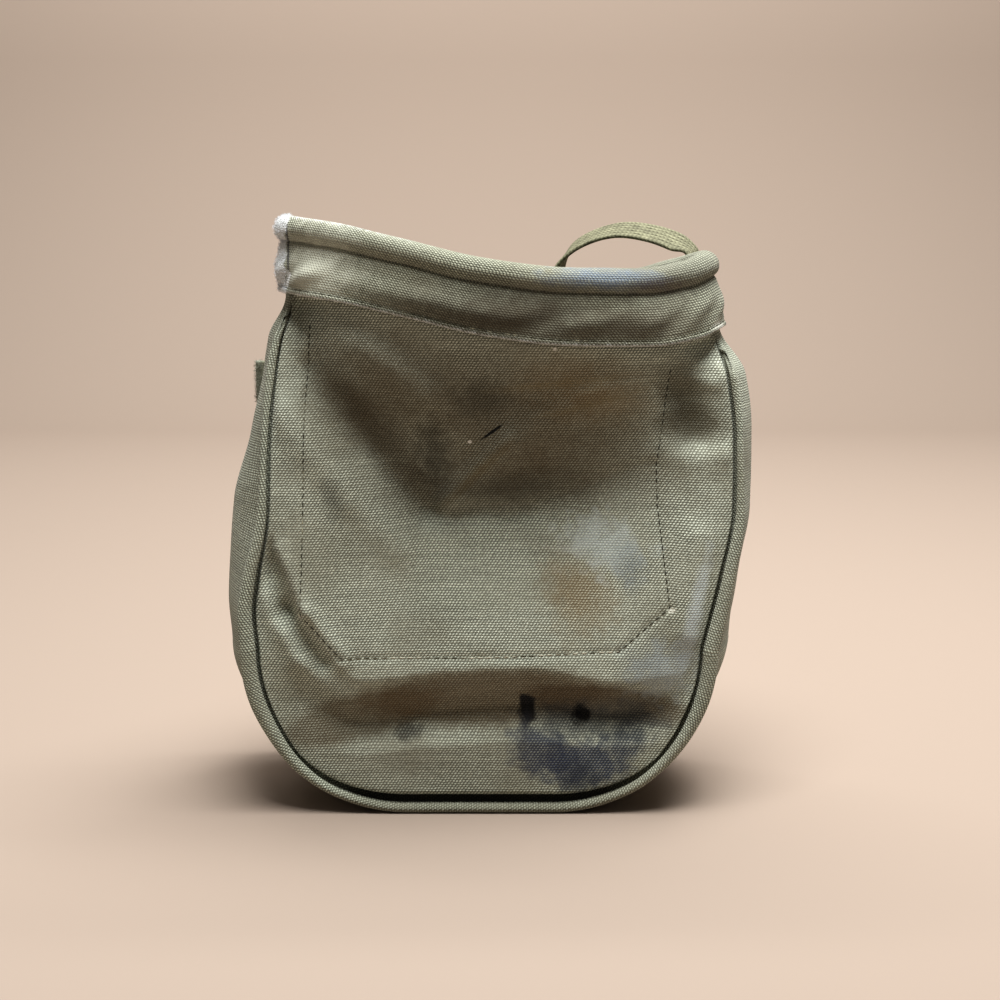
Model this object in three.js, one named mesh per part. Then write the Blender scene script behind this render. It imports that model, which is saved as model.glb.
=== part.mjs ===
// Canvas tool bucket bag: a U-shaped front and back joined by one gusset strip, a rolled rim with a
// stitched facing, a patch pocket inside the front, a webbing loop and a webbing strap on the back.
// Millimetres, +Z up, the front faces -Y. The drawing's x = 0 and y = 0 lie on the middle of the mouth.

import * as THREE from 'three';

// Driving dimensions
const WALL = 1.6; // one layer of cotton duck
const POCKET_WALL = 1.2;
const GAP = 0.3; // between pieces that are sewn together
const BACK_GAP = 0.8; // round the back panel, whose outline has fewer facets
const BAND_HEIGHT = 32; // rolled rim and facing together
const ROLL_RADIUS = 5.5;
const ROLL_SET = -1.2; // the roll's middle, measured out from the cloth's outer face
const FACING = 1.9; // folded double cloth under the roll
const FACING_GAP = 0.4; // between the facing and the cloth behind it
const FACING_HEM = 0.6; // height of the facing's rounded lower edge
const WEB_WIDTH = 19;
const WEB_THICK = 1.8;
const BASE_RADIUS = 70; // lower corners of the front outline
const BASE_LEFT = -39.8; // the flat stretch that the bag stands on
const BASE_RIGHT = 22.5;
const LIP_FRONT = -42; // depth of the lips near the bottom
const LIP_BACK = 43;
const LIP_SETTLED = 30; // the lips and the gusset's bulge have settled to the bottom at this height
const BOX_MIDDLE = { x: -4.85, y: 7.07 }; // middle of the footprint, which becomes the origin

// The mouth in plan: an oval, deeper in front, pinched at the left corner, widening downwards
const MOUTH = {
  x: -1.75, half: 90.75, front: 37.6, back: 34, pinch: 0.25, spread: 0.09, drift: 0.09, swell: 0.075,
};
const SEAM_COSINE = 0.96; // where the panels' side seams meet the mouth
const SEAM_TRIM = 0.01; // and the slit between panel and gusset there, in radians
const PINCH_POWER = 6; // how near the left corner the pinch stays
const PANEL_TOP = 2 * ROLL_RADIUS + 0.6; // the panels end under the roll
const BAND_END = BAND_HEIGHT + 1; // below this the cloth leaves the mouth's oval
const BODY_START = 52; // and from here down it has the body's own shape

// Top of the roll across the mouth, along the front edge and along the back edge
const RIM_TOP = [
  { x: -92.5, front: 253, back: 253 },
  { x: -70, front: 249.4, back: 246 },
  { x: -40, front: 242.5, back: 237 },
  { x: -8, front: 235, back: 230 },
  { x: 25, front: 231, back: 227 },
  { x: 58, front: 230.4, back: 230 },
  { x: 78, front: 233.6, back: 235 },
  { x: 89, front: 238.2, back: 238.2 },
];

// The body by height: crease of the lips left and right, depth of the front and back lips, how far the
// gusset bulges past the crease, and the size of the lip as a share of the full one
const BODY = [
  { z: 70, left: -109.8, right: 92.5, front: -41.5, back: 43, bulgeLeft: 9.5, bulgeRight: 9, lip: 1 },
  { z: 85, left: -110.8, right: 96, front: -40, back: 42.5, bulgeLeft: 9.8, bulgeRight: 6.5, lip: 0.95 },
  { z: 100, left: -108.5, right: 98.9, front: -38.5, back: 41, bulgeLeft: 11.5, bulgeRight: 5, lip: 0.85 },
  { z: 130, left: -102.3, right: 103, front: -34, back: 37, bulgeLeft: 14.5, bulgeRight: 7, lip: 0.6 },
  { z: 160, left: -101, right: 102.8, front: -28, back: 31.5, bulgeLeft: 9.5, bulgeRight: 8, lip: 0.5 },
  { z: 190, left: -98, right: 99.3, front: -21, back: 24, bulgeLeft: 6.5, bulgeRight: 7, lip: 0.45 },
  { z: 220, left: -91, right: 93, front: -14, back: 14, bulgeLeft: 6, bulgeRight: 6, lip: 0.3 },
];

// Full-size lip, from the groove over the nose to the heel: outer skin, and the inner skin under it
const LIP = [
  { name: 'groove', inward: 6.8, back: 5.2 },
  { name: 'throat', inward: 6.3, back: 1.9, innerInward: 5.4 },
  { name: 'nose', inward: 3.4, back: 0, innerInward: 4 },
  { name: 'shoulder', inward: 0.8, back: 1.5, innerInward: 2.8 },
  { name: 'heel', inward: 0, back: 4.8, innerInward: WALL },
];
const PANEL_SET = 4.6; // how far the panels lie behind the nose of the full lip
const EDGE_SHARE = 0.17; // share of the width over which a panel is pulled to its side seams

// Fold lines of the front, left to right: the bottom of the slanted dent, the ridge along the pocket's
// lower seam and the hollow under it, each with its height and depth
const FRONT_LINES = [
  { x: -84, dentZ: 186, dentY: -23, ridgeZ: 88, ridgeY: -39, hollowZ: 60, hollowY: -31 },
  { x: -58, dentZ: 157, dentY: -20, ridgeZ: 63, ridgeY: -38.5, hollowZ: 38, hollowY: -27 },
  { x: -28, dentZ: 128, dentY: -14, ridgeZ: 59, ridgeY: -37, hollowZ: 36, hollowY: -25 },
  { x: 12, dentZ: 131, dentY: -15, ridgeZ: 60, ridgeY: -37, hollowZ: 42, hollowY: -25 },
  { x: 48, dentZ: 143, dentY: -18, ridgeZ: 63, ridgeY: -37.5, hollowZ: 45, hollowY: -26 },
  { x: 84, dentZ: 158, dentY: -24, ridgeZ: 78, ridgeY: -38, hollowZ: 56, hollowY: -31 },
];
const LINE_STEPS = { hollow: 8, ridge: 12, dent: 20, edge: 16 }; // least height of each line over the last

// Smaller folds on the front: ends, half-width and height of each, a negative rise towards the viewer
const FRONT_FOLDS = [
  { name: 'tension fold from the left corner', x0: -72, z0: 212, x1: -32, z1: 178, width: 8, rise: -4 },
  { name: 'soft fold inside the dent', x0: -24, z0: 134, x1: 42, z1: 180, width: 9, rise: -4 },
  { name: 'pinch by the right seam', x0: 80, z0: 176, x1: 92, z1: 172, width: 9, rise: 3 },
  { name: 'upright fold by the right seam', x0: 82, z0: 118, x1: 80, z1: 78, width: 7, rise: -2.5 },
];

// The back panel: depth of its middle by height
const BACK_MIDDLE = [
  { z: 12, y: 38 },
  { z: 60, y: 39.5 },
  { z: 120, y: 38.5 },
  { z: 165, y: 37.2 },
  { z: 195, y: 36.6 },
];
const BACK_SETTLE = 24; // height below the facing over which it leaves the oval

// Webbing loop: each leg is sewn flat to the facing at the back, then turns edge-on as it clears the roll
const LOOP_LEFT_ANGLE = 1.26;
const LOOP_RIGHT_ANGLE = 0.5;
const LOOP_LEG = [
  { down: 30.5, out: 3.7, twist: 0 },
  { down: 19, out: 4, twist: 0 },
  { down: 11, out: 9.4, twist: 16 },
  { down: 4, out: 13.8, twist: 50 },
  { down: -3, out: 15, twist: 82 },
];
const LOOP_ARCH = [
  { x: 32.5, z: 238.7 },
  { x: 41.5, z: 244.4 },
  { x: 54.7, z: 247.7 },
  { x: 68.4, z: 246 },
  { x: 79, z: 242.2 },
];
const LOOP_LEAN = 0.15; // the loop's upper face leans a little to the front

// Webbing strap across the back
const STRAP = { left: -109.5, right: 99, low: 168.5, overLip: 8, settled: 26, seat: 0.8 };

// Mesh divisions
const BAND_ROWS = 3;
const SIDE_ROWS = 21;
const COLUMNS = 27;
const RIM_STEPS = 60;
const LOOP_STEPS = 34;
const STRAP_STEPS = 22;
const BACK_COLUMN_STEP = 3; // the plain back takes every third column
const ROLL_ANGLES = [55, 13, -30, -73, -116, -160, -204, -250]; // degrees from outward, down positive
const SPAN_SHARES = [0.25, 0.5, 0.75]; // places across the gusset between its lips
const POCKET_ROWS = { first: BAND_ROWS + 2, end: BAND_ROWS + 16 }; // the patch pocket on the front's grid
const POCKET_MARGIN = 3;

// Curves through tables
function slopeAt(xs, ys, i) {
  if (i === 0 || i === xs.length - 1) {
    const a = Math.min(i, xs.length - 2);
    return (ys[a + 1] - ys[a]) / (xs[a + 1] - xs[a]);
  }
  const before = (ys[i] - ys[i - 1]) / (xs[i] - xs[i - 1]);
  const after = (ys[i + 1] - ys[i]) / (xs[i + 1] - xs[i]);
  return before * after <= 0 ? 0 : (2 * before * after) / (before + after);
}

// A smooth curve through points that never swings past them; flat beyond its ends
function through(xs, ys, x) {
  const last = xs.length - 1;
  if (x <= xs[0]) return ys[0];
  if (x >= xs[last]) return ys[last];
  let i = 0;
  while (x > xs[i + 1]) i += 1;
  const h = xs[i + 1] - xs[i];
  const t = (x - xs[i]) / h;
  const t2 = t * t;
  const t3 = t2 * t;
  return (2 * t3 - 3 * t2 + 1) * ys[i] + (t3 - 2 * t2 + t) * h * slopeAt(xs, ys, i)
    + (3 * t2 - 2 * t3) * ys[i + 1] + (t3 - t2) * h * slopeAt(xs, ys, i + 1);
}

function column(rows, key, name, at) {
  return through(rows.map((row) => row[key]), rows.map((row) => row[name]), at);
}

const { smoothstep, lerp } = THREE.MathUtils;

// The wall at the mouth: a point at an angle round the oval (0 at the right corner, the back at a quarter
// turn), a distance down from the top of the roll and a distance out from the cloth's outer face
function rimTop(x, isFront) {
  return column(RIM_TOP, 'x', isFront ? 'front' : 'back', x);
}

function mouthNormal(angle) {
  const reach = Math.sin(angle) < 0 ? MOUTH.front : MOUTH.back;
  return new THREE.Vector3(reach * Math.cos(angle), MOUTH.half * Math.sin(angle), 0).normalize();
}

function mouthWall(angle, down, out = 0) {
  const c = Math.cos(angle);
  const s = Math.sin(angle);
  const pinch = 1 - MOUTH.pinch * Math.max(0, -c) ** PINCH_POWER;
  const reachX = MOUTH.half + MOUTH.spread * down;
  const reachY = ((s < 0 ? MOUTH.front : MOUTH.back) + MOUTH.swell * down) * pinch;
  const point = new THREE.Vector3(
    MOUTH.x + MOUTH.drift * down + reachX * c,
    reachY * s,
    rimTop(MOUTH.x + MOUTH.half * c, s < 0) - down,
  );
  return point.addScaledVector(mouthNormal(angle), out);
}

// Angle of a side seam on the mouth: side -1 is left and 1 right, face -1 is front and 1 back
function seamAngle(side, face, trim = 0) {
  const turn = Math.acos(SEAM_COSINE) + trim;
  return side < 0 ? Math.PI - face * turn : face * turn;
}

// The body's outline in front view, as stations from the left side round the bottom to the right side.
// Each has its place, its outward normal, and what the gusset needs there
function sidePoint(side, z) {
  if (z >= BASE_RADIUS) return new THREE.Vector2(column(BODY, 'z', side < 0 ? 'left' : 'right', z), z);
  const middle = side < 0 ? BASE_LEFT : BASE_RIGHT;
  const reach = Math.sqrt(BASE_RADIUS ** 2 - (BASE_RADIUS - z) ** 2);
  return new THREE.Vector2(middle + side * reach, z);
}

function station(point, tangent, down) {
  const normal = new THREE.Vector2(tangent.y, -tangent.x).normalize();
  const side = Math.sign(point.x) || 1;
  const z = Math.max(point.y, BASE_RADIUS);
  const low = point.y < BASE_RADIUS;
  const settle = low ? smoothstep(point.y, LIP_SETTLED, BASE_RADIUS) : 1;
  const bulge = column(BODY, 'z', side < 0 ? 'bulgeLeft' : 'bulgeRight', z);
  return {
    point,
    normal,
    side,
    down,
    front: lerp(LIP_FRONT, column(BODY, 'z', 'front', z), settle),
    back: lerp(LIP_BACK, column(BODY, 'z', 'back', z), settle),
    bulge: low ? bulge * Math.abs(normal.x) ** 2 * settle : bulge,
    lip: column(BODY, 'z', 'lip', z),
  };
}

const EIGHTH_TURN = (BASE_RADIUS * Math.PI) / 4;

function seamTop(side) {
  return mouthWall(seamAngle(side, -1), 0).z;
}

// One side from under the facing down to the middle of the lower corner
function sideStations(side) {
  const top = seamTop(side) - BAND_END;
  const upright = top - BASE_RADIUS;
  const list = [];
  for (let j = 0; j <= SIDE_ROWS; j += 1) {
    const run = (j / SIDE_ROWS) * (upright + EIGHTH_TURN);
    const turn = Math.max(0, run - upright) / BASE_RADIUS;
    const z = run <= upright ? top - run : BASE_RADIUS * (1 - Math.sin(turn));
    const point = sidePoint(side, z);
    const tangent = turn > 0
      ? new THREE.Vector2(Math.sin(turn), side * Math.cos(turn))
      : sidePoint(side, z + side).sub(sidePoint(side, z - side));
    list.push(station(point, tangent, seamTop(side) - z));
  }
  return list;
}

// The bottom, between the middles of the two lower corners
function bottomStations() {
  const flat = BASE_RIGHT - BASE_LEFT;
  const list = [];
  for (let i = 0; i <= COLUMNS; i += 1) {
    const run = (i / COLUMNS) * (flat + 2 * EIGHTH_TURN) - EIGHTH_TURN;
    const turn = run < 0 ? run / BASE_RADIUS : Math.max(0, run - flat) / BASE_RADIUS;
    const x = BASE_LEFT + THREE.MathUtils.clamp(run, 0, flat) + BASE_RADIUS * Math.sin(turn);
    const point = new THREE.Vector2(x, BASE_RADIUS * (1 - Math.cos(turn)));
    list.push(station(point, new THREE.Vector2(Math.cos(turn), Math.sin(turn)), Infinity));
  }
  return list;
}

function bodyShare(down) {
  return smoothstep(down, BAND_END, BODY_START);
}

// A point in the plane of a station's section
function onStation(at, inward, y) {
  return new THREE.Vector3(at.point.x - at.normal.x * inward, y, at.point.y - at.normal.y * inward);
}

// The gusset's section at a station, front lip to back lip: outer skin and inner skin
function gussetSection(at) {
  const outer = [];
  const inner = [];
  const skinBack = LIP[0].back * at.lip + WALL;
  const heel = LIP[LIP.length - 1].back * at.lip;
  const lipSkins = (rows, edge, face) => rows.forEach((row) => {
    const inward = row.inward * at.lip;
    const inwardSkin = row.name === 'groove' ? inward : lerp(WALL, row.innerInward, at.lip);
    const depth = Math.max(skinBack, row.back * at.lip + WALL);
    outer.push(onStation(at, inward, edge - face * row.back * at.lip));
    inner.push(onStation(at, inwardSkin, edge - face * depth));
  });
  lipSkins(LIP, at.front, -1);
  SPAN_SHARES.forEach((share) => {
    const y = lerp(at.front + heel, at.back - heel, share);
    const out = at.bulge * 4 * share * (1 - share);
    outer.push(onStation(at, -out, y));
    inner.push(onStation(at, WALL - out, y));
  });
  lipSkins([...LIP].reverse(), at.back, 1);
  return blendToMouth(at, outer, inner);
}

function blendToMouth(at, outer, inner) {
  const share = bodyShare(at.down);
  if (share === 1) return { outer, inner };
  const from = seamAngle(at.side, -1);
  const to = seamAngle(at.side, 1);
  outer.forEach((point, k) => {
    const angle = lerp(from, to, k / (outer.length - 1));
    point.copy(mouthWall(angle, at.down).lerp(point, share));
    inner[k].copy(mouthWall(angle, at.down, -WALL).lerp(inner[k], share));
  });
  return { outer, inner };
}

// Stations under the facing, from just below the roll
function bandStations(side) {
  const first = sideStations(side)[0];
  const list = [];
  for (let j = 0; j < BAND_ROWS; j += 1) {
    list.push({ ...first, down: lerp(PANEL_TOP, BAND_END, j / BAND_ROWS) });
  }
  return list;
}

// Closed solids from grids of points
function addGrid(triangles, rows, flip) {
  for (let j = 0; j + 1 < rows.length; j += 1) {
    for (let i = 0; i + 1 < rows[j].length; i += 1) {
      const [a, b, c, d] = [rows[j][i], rows[j][i + 1], rows[j + 1][i + 1], rows[j + 1][i]];
      triangles.push(...(flip ? [a, c, b, a, d, c] : [a, b, c, a, c, d]));
    }
  }
}

// Faces point out: a solid whose signed volume is negative is turned round
function solidFrom(triangles) {
  let volume = 0;
  for (let i = 0; i < triangles.length; i += 3) {
    volume += triangles[i].dot(new THREE.Vector3().crossVectors(triangles[i + 1], triangles[i + 2]));
  }
  const outward = volume < 0 ? [...triangles].reverse() : triangles;
  const geometry = new THREE.BufferGeometry().setFromPoints(outward);
  geometry.computeVertexNormals();
  return geometry;
}

// A sheet of cloth: its outer and inner skins, closed along the four edges
function sheet(outer, inner) {
  const triangles = [];
  const edge = (pick) => [outer.map(pick), inner.map(pick)];
  const last = outer.length - 1;
  const end = outer[0].length - 1;
  addGrid(triangles, outer, false);
  addGrid(triangles, inner, true);
  addGrid(triangles, [outer[0], inner[0]], true);
  addGrid(triangles, [outer[last], inner[last]], false);
  addGrid(triangles, edge((row) => row[0]), false);
  addGrid(triangles, edge((row) => row[end]), true);
  return solidFrom(triangles);
}

// A closed section carried along stations, joined end to start or capped
function sweep(sections, closed) {
  const triangles = [];
  const loops = sections.map((section) => [...section, section[0]]);
  addGrid(triangles, closed ? [...loops, loops[0]] : loops, false);
  if (!closed) {
    const first = sections[0];
    const final = sections[sections.length - 1];
    for (let k = 1; k + 1 < first.length; k += 1) {
      triangles.push(first[0], first[k + 1], first[k]);
      triangles.push(final[0], final[k], final[k + 1]);
    }
  }
  return solidFrom(triangles);
}

// Outward normals of a panel's grid, face -1 in front and 1 at the back
function gridNormals(rows, face) {
  return rows.map((row, j) => row.map((point, i) => {
    const left = row[Math.max(i - 1, 0)];
    const right = row[Math.min(i + 1, row.length - 1)];
    const above = rows[Math.max(j - 1, 0)][i];
    const below = rows[Math.min(j + 1, rows.length - 1)][i];
    const across = new THREE.Vector3().subVectors(right, left);
    return across.cross(new THREE.Vector3().subVectors(below, above)).setLength(face);
  }));
}

function offsetGrid(rows, normals, distance) {
  return rows.map((row, j) => row.map((point, i) => point.clone().addScaledVector(normals[j][i], distance)));
}

// Cloth at the lower edge of the facing, as a function of x
function bandEdge(x, face) {
  const c = (x - MOUTH.x - MOUTH.drift * BAND_END) / (MOUTH.half + MOUTH.spread * BAND_END);
  const turn = Math.acos(THREE.MathUtils.clamp(c, -1, 1));
  return mouthWall(face * turn, BAND_END);
}

// Height of the panels' lower edge, and the heights and depths of the folds above it
function hemHeight(x) {
  const middle = THREE.MathUtils.clamp(x, BASE_LEFT, BASE_RIGHT);
  const radius = BASE_RADIUS - LIP[0].inward;
  const reach = Math.min(Math.abs(x - middle), radius);
  return BASE_RADIUS - Math.sqrt(radius ** 2 - reach ** 2);
}

function foldRise(fold, x, z) {
  const along = new THREE.Vector2(fold.x1 - fold.x0, fold.z1 - fold.z0);
  const offset = new THREE.Vector2(x - fold.x0, z - fold.z0);
  const share = THREE.MathUtils.clamp(offset.dot(along) / along.lengthSq(), 0, 1);
  const distance = offset.addScaledVector(along, -share).length();
  return fold.rise * Math.exp(-((distance / fold.width) ** 2));
}

function frontDepth(x, z) {
  const edge = bandEdge(x, -1);
  const line = (name) => column(FRONT_LINES, 'x', name, x);
  const hem = hemHeight(x);
  const hollow = Math.max(line('hollowZ'), hem + LINE_STEPS.hollow);
  const ridge = Math.max(line('ridgeZ'), hollow + LINE_STEPS.ridge);
  const dent = Math.max(line('dentZ'), ridge + LINE_STEPS.dent);
  const heights = [hem, hollow, ridge, dent, Math.max(edge.z, dent + LINE_STEPS.edge)];
  const depths = [LIP_FRONT + PANEL_SET, line('hollowY'), line('ridgeY'), line('dentY'), edge.y];
  const folds = FRONT_FOLDS.reduce((sum, fold) => sum + foldRise(fold, x, z), 0);
  return through(heights, depths, z) + folds;
}

// The back is crowned between its side seams and runs into the mouth's oval under the facing
function backDepth(x, z) {
  const edge = bandEdge(x, 1);
  const body = (name) => column(BODY, 'z', name, z);
  const across = (2 * x - body('left') - body('right')) / (body('right') - body('left'));
  const seam = body('back') - PANEL_SET * body('lip');
  const crowned = lerp(column(BACK_MIDDLE, 'z', 'y', z), seam, Math.min(across ** 2, 1));
  return lerp(edge.y, crowned, smoothstep(edge.z - z, 0, BACK_SETTLE));
}

// A panel's border beside the gusset at one station
function panelBorder(at, face) {
  const edge = face < 0 ? at.front : at.back;
  const clear = face < 0 ? GAP : BACK_GAP;
  const body = onStation(at, LIP[0].inward * at.lip + clear, edge - face * PANEL_SET * at.lip);
  const share = bodyShare(at.down);
  if (share === 1) return body;
  return mouthWall(seamAngle(at.side, face, SEAM_TRIM), at.down).lerp(body, share);
}

// The direction in which a panel's cut edge faces out at a station, square to the gusset's own edge
function borderNormal(at, face) {
  const mouth = mouthNormal(seamAngle(at.side, face, SEAM_TRIM));
  return mouth.lerp(new THREE.Vector3(0, face, 0), bodyShare(at.down)).normalize();
}

// A panel's outer skin and its outward normals: rows on the mouth's oval under the facing, then a patch
// between the borders
function panel(face, columnStep, depth) {
  const border = (list) => list.map((at) => panelBorder(at, face));
  const left = border(sideStations(-1));
  const right = border(sideStations(1));
  const bottom = border(bottomStations().filter((_, i) => i % columnStep === 0));
  const columns = bottom.length - 1;
  const rows = left.length - 1;
  const from = seamAngle(-1, face, SEAM_TRIM);
  const to = seamAngle(1, face, SEAM_TRIM) + (face < 0 ? 2 * Math.PI : 0);
  const bandRow = (down) => bottom.map((_, i) => mouthWall(lerp(from, to, i / columns), down));
  const grid = [];
  for (let j = 0; j < BAND_ROWS; j += 1) {
    grid.push(bandRow(lerp(PANEL_TOP, BAND_END, j / BAND_ROWS)));
  }
  const top = bandRow(BAND_END);
  for (let j = 0; j <= rows; j += 1) {
    const v = j / rows;
    grid.push(bottom.map((low, i) => {
      const u = i / columns;
      if (j === 0) return top[i];
      if (i === 0) return left[j];
      if (i === columns) return right[j];
      if (j === rows) return low;
      const point = top[i].clone().multiplyScalar(1 - v).addScaledVector(low, v);
      point.addScaledVector(left[j], 1 - u).addScaledVector(right[j], u);
      point.addScaledVector(top[0], -(1 - u) * (1 - v)).addScaledVector(top[columns], -u * (1 - v));
      point.addScaledVector(bottom[0], -(1 - u) * v).addScaledVector(bottom[columns], -u * v);
      const seam = u < 0.5 ? left[j] : right[j];
      const free = smoothstep(Math.min(u, 1 - u), 0, EDGE_SHARE);
      point.y = lerp(seam.y, depth(point.x, point.z), free);
      return point;
    }));
  }
  const normals = gridNormals(grid, face);
  const sides = [[-1, 0], [1, columns]];
  sides.forEach(([side, i]) => {
    const stations = [...bandStations(side), ...sideStations(side)];
    stations.forEach((at, j) => normals[j][i].copy(borderNormal(at, face)));
  });
  normals[normals.length - 1].forEach((normal) => normal.set(0, face, 0));
  return { grid, normals };
}

// Pieces
function panelSheet({ grid, normals }) {
  return sheet(grid, offsetGrid(grid, normals, -WALL));
}

function innerPocket({ grid, normals }) {
  const cut = (rows) => rows.slice(POCKET_ROWS.first, POCKET_ROWS.end)
    .map((row) => row.slice(POCKET_MARGIN, -POCKET_MARGIN));
  const layer = (distance) => offsetGrid(cut(grid), cut(normals), -distance);
  return sheet(layer(WALL + GAP), layer(WALL + GAP + POCKET_WALL));
}

function gusset() {
  const stations = [
    ...bandStations(-1),
    ...sideStations(-1),
    ...bottomStations().slice(1, -1),
    ...sideStations(1).reverse(),
    ...bandStations(1).reverse(),
  ];
  const sections = stations.map(gussetSection);
  return sheet(sections.map((section) => section.outer), sections.map((section) => section.inner));
}

// The rolled rim and its facing: one section carried round the mouth
function rimBand() {
  const facingTop = PANEL_TOP - FACING_GAP;
  const hemTop = BAND_HEIGHT - FACING_HEM;
  const section = ROLL_ANGLES.map((degrees) => {
    const turn = THREE.MathUtils.degToRad(degrees);
    return { out: ROLL_SET + ROLL_RADIUS * Math.cos(turn), down: ROLL_RADIUS * (1 + Math.sin(turn)) };
  });
  section.push({ out: FACING_GAP, down: facingTop });
  section.push({ out: FACING_GAP, down: hemTop });
  section.push({ out: FACING_GAP + FACING / 2, down: BAND_HEIGHT });
  section.push({ out: FACING_GAP + FACING, down: hemTop });
  section.push({ out: FACING_GAP + FACING, down: facingTop });
  const sections = [];
  for (let k = 0; k < RIM_STEPS; k += 1) {
    const angle = (k / RIM_STEPS) * 2 * Math.PI;
    sections.push(section.map((row) => mouthWall(angle, row.down, row.out)));
  }
  return sweep(sections, true);
}

// A strap section across its width, at a point on its middle line
function webSection(middle, across, travel) {
  const normal = new THREE.Vector3().crossVectors(travel, across).normalize();
  const corner = (side, face) => middle.clone()
    .addScaledVector(across, (side * WEB_WIDTH) / 2)
    .addScaledVector(normal, (face * WEB_THICK) / 2);
  return [corner(-1, 1), corner(1, 1), corner(1, -1), corner(-1, -1)];
}

// One leg of the loop, from its sewn end up: middle points and width directions
function loopLeg(angle, side) {
  const normal = mouthNormal(angle);
  const along = new THREE.Vector3(normal.y, -normal.x, 0).multiplyScalar(side);
  return LOOP_LEG.map((row) => {
    const twist = THREE.MathUtils.degToRad(row.twist);
    const across = along.clone().multiplyScalar(Math.cos(twist)).addScaledVector(normal, Math.sin(twist));
    return { middle: mouthWall(angle, row.down, row.out), across };
  });
}

function hangingLoop() {
  const left = loopLeg(LOOP_LEFT_ANGLE, 1);
  const right = loopLeg(LOOP_RIGHT_ANGLE, -1).reverse();
  const start = left[left.length - 1];
  const end = right[0];
  const arch = LOOP_ARCH.map((row) => {
    const share = (row.x - start.middle.x) / (end.middle.x - start.middle.x);
    const across = start.across.clone().lerp(end.across, share);
    across.z = LOOP_LEAN;
    return {
      middle: new THREE.Vector3(row.x, lerp(start.middle.y, end.middle.y, share), row.z),
      across: across.normalize(),
    };
  });
  const rows = [...left, ...arch, ...right];
  const path = new THREE.CatmullRomCurve3(rows.map((row) => row.middle));
  const widths = new THREE.CatmullRomCurve3(rows.map((row) => row.across));
  const sections = [];
  for (let k = 0; k <= LOOP_STEPS; k += 1) {
    const share = k / LOOP_STEPS;
    const travel = path.getTangent(share);
    const across = widths.getPoint(share);
    across.addScaledVector(travel, -across.dot(travel)).normalize();
    sections.push(webSection(path.getPoint(share), across, travel));
  }
  return sweep(sections, false);
}

// The strap lies on the back panel, rides over the back lips and ends past the left one
function backStrap() {
  const skin = (lift) => {
    const rows = [];
    for (let j = 0; j <= 2; j += 1) {
      const z = STRAP.low + (j / 2) * WEB_WIDTH;
      const lip = column(BODY, 'z', 'back', z);
      rows.push([]);
      for (let i = 0; i <= STRAP_STEPS; i += 1) {
        const x = lerp(STRAP.left, STRAP.right, i / STRAP_STEPS);
        const inside = Math.min(x - column(BODY, 'z', 'left', z), column(BODY, 'z', 'right', z) - x);
        const lying = smoothstep(inside, STRAP.overLip, STRAP.settled);
        rows[j].push(new THREE.Vector3(x, lerp(lip, backDepth(x, z), lying) + STRAP.seat + lift, z));
      }
    }
    return rows;
  };
  return sheet(skin(WEB_THICK), skin(0));
}

// Colours of the worn canvas and webbing
const CANVAS = 0x77765f;
const CANVAS_WORN = 0x8b8a75;
const WEBBING = 0x7f7f62;

function piece(name, geometry, color) {
  const material = new THREE.MeshStandardMaterial({ color, roughness: 0.92, metalness: 0 });
  const mesh = new THREE.Mesh(geometry, material);
  mesh.name = name;
  return mesh;
}

const front = panel(-1, 1, frontDepth);
const back = panel(1, BACK_COLUMN_STEP, backDepth);

const bag = new THREE.Group();
bag.add(
  piece('front_panel', panelSheet(front), CANVAS),
  piece('gusset', gusset(), CANVAS),
  piece('back_panel', panelSheet(back), CANVAS),
  piece('rim_band', rimBand(), CANVAS_WORN),
  piece('inner_pocket', innerPocket(front), CANVAS),
  piece('hanging_loop', hangingLoop(), WEBBING),
  piece('back_strap', backStrap(), WEBBING),
);
bag.position.set(-BOX_MIDDLE.x, -BOX_MIDDLE.y, 0);

export default bag;
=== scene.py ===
"""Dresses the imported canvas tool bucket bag: worn olive duck, a rolled rim, webbing and stitching.

Sizes are drawing millimetres, as in the part's source: +Z up, the front faces -Y, and x = 0, y = 0 lie on
the middle of the mouth. Meshes are written in metres about the middle of the footprint.
"""

from __future__ import annotations

import logging
import math
from dataclasses import astuple, dataclass, replace
from enum import Enum
from functools import cache
from typing import Any, NamedTuple, Sequence

import bmesh
import bpy
import numpy as np
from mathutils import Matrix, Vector
from mathutils.bvhtree import BVHTree

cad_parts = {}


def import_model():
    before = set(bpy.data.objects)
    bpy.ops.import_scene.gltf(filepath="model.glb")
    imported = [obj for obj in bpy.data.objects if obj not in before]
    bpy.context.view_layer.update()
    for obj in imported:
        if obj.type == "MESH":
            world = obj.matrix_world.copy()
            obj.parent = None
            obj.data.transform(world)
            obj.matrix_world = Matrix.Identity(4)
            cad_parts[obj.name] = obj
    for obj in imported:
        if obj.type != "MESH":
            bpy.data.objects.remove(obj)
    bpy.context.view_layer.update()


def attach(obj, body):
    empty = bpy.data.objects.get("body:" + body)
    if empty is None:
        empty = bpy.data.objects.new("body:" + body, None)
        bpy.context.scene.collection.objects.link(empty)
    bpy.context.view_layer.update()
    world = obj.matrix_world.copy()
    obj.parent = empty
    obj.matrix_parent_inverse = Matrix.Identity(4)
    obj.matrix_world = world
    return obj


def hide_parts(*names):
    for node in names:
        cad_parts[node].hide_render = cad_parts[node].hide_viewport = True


Array = np.ndarray
Object = bpy.types.Object
Material = bpy.types.Material
Tree = bpy.types.NodeTree
Node = bpy.types.Node
Socket = bpy.types.NodeSocket
Place = tuple[float, float, float]
log = logging.getLogger("bucket_bag")

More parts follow.
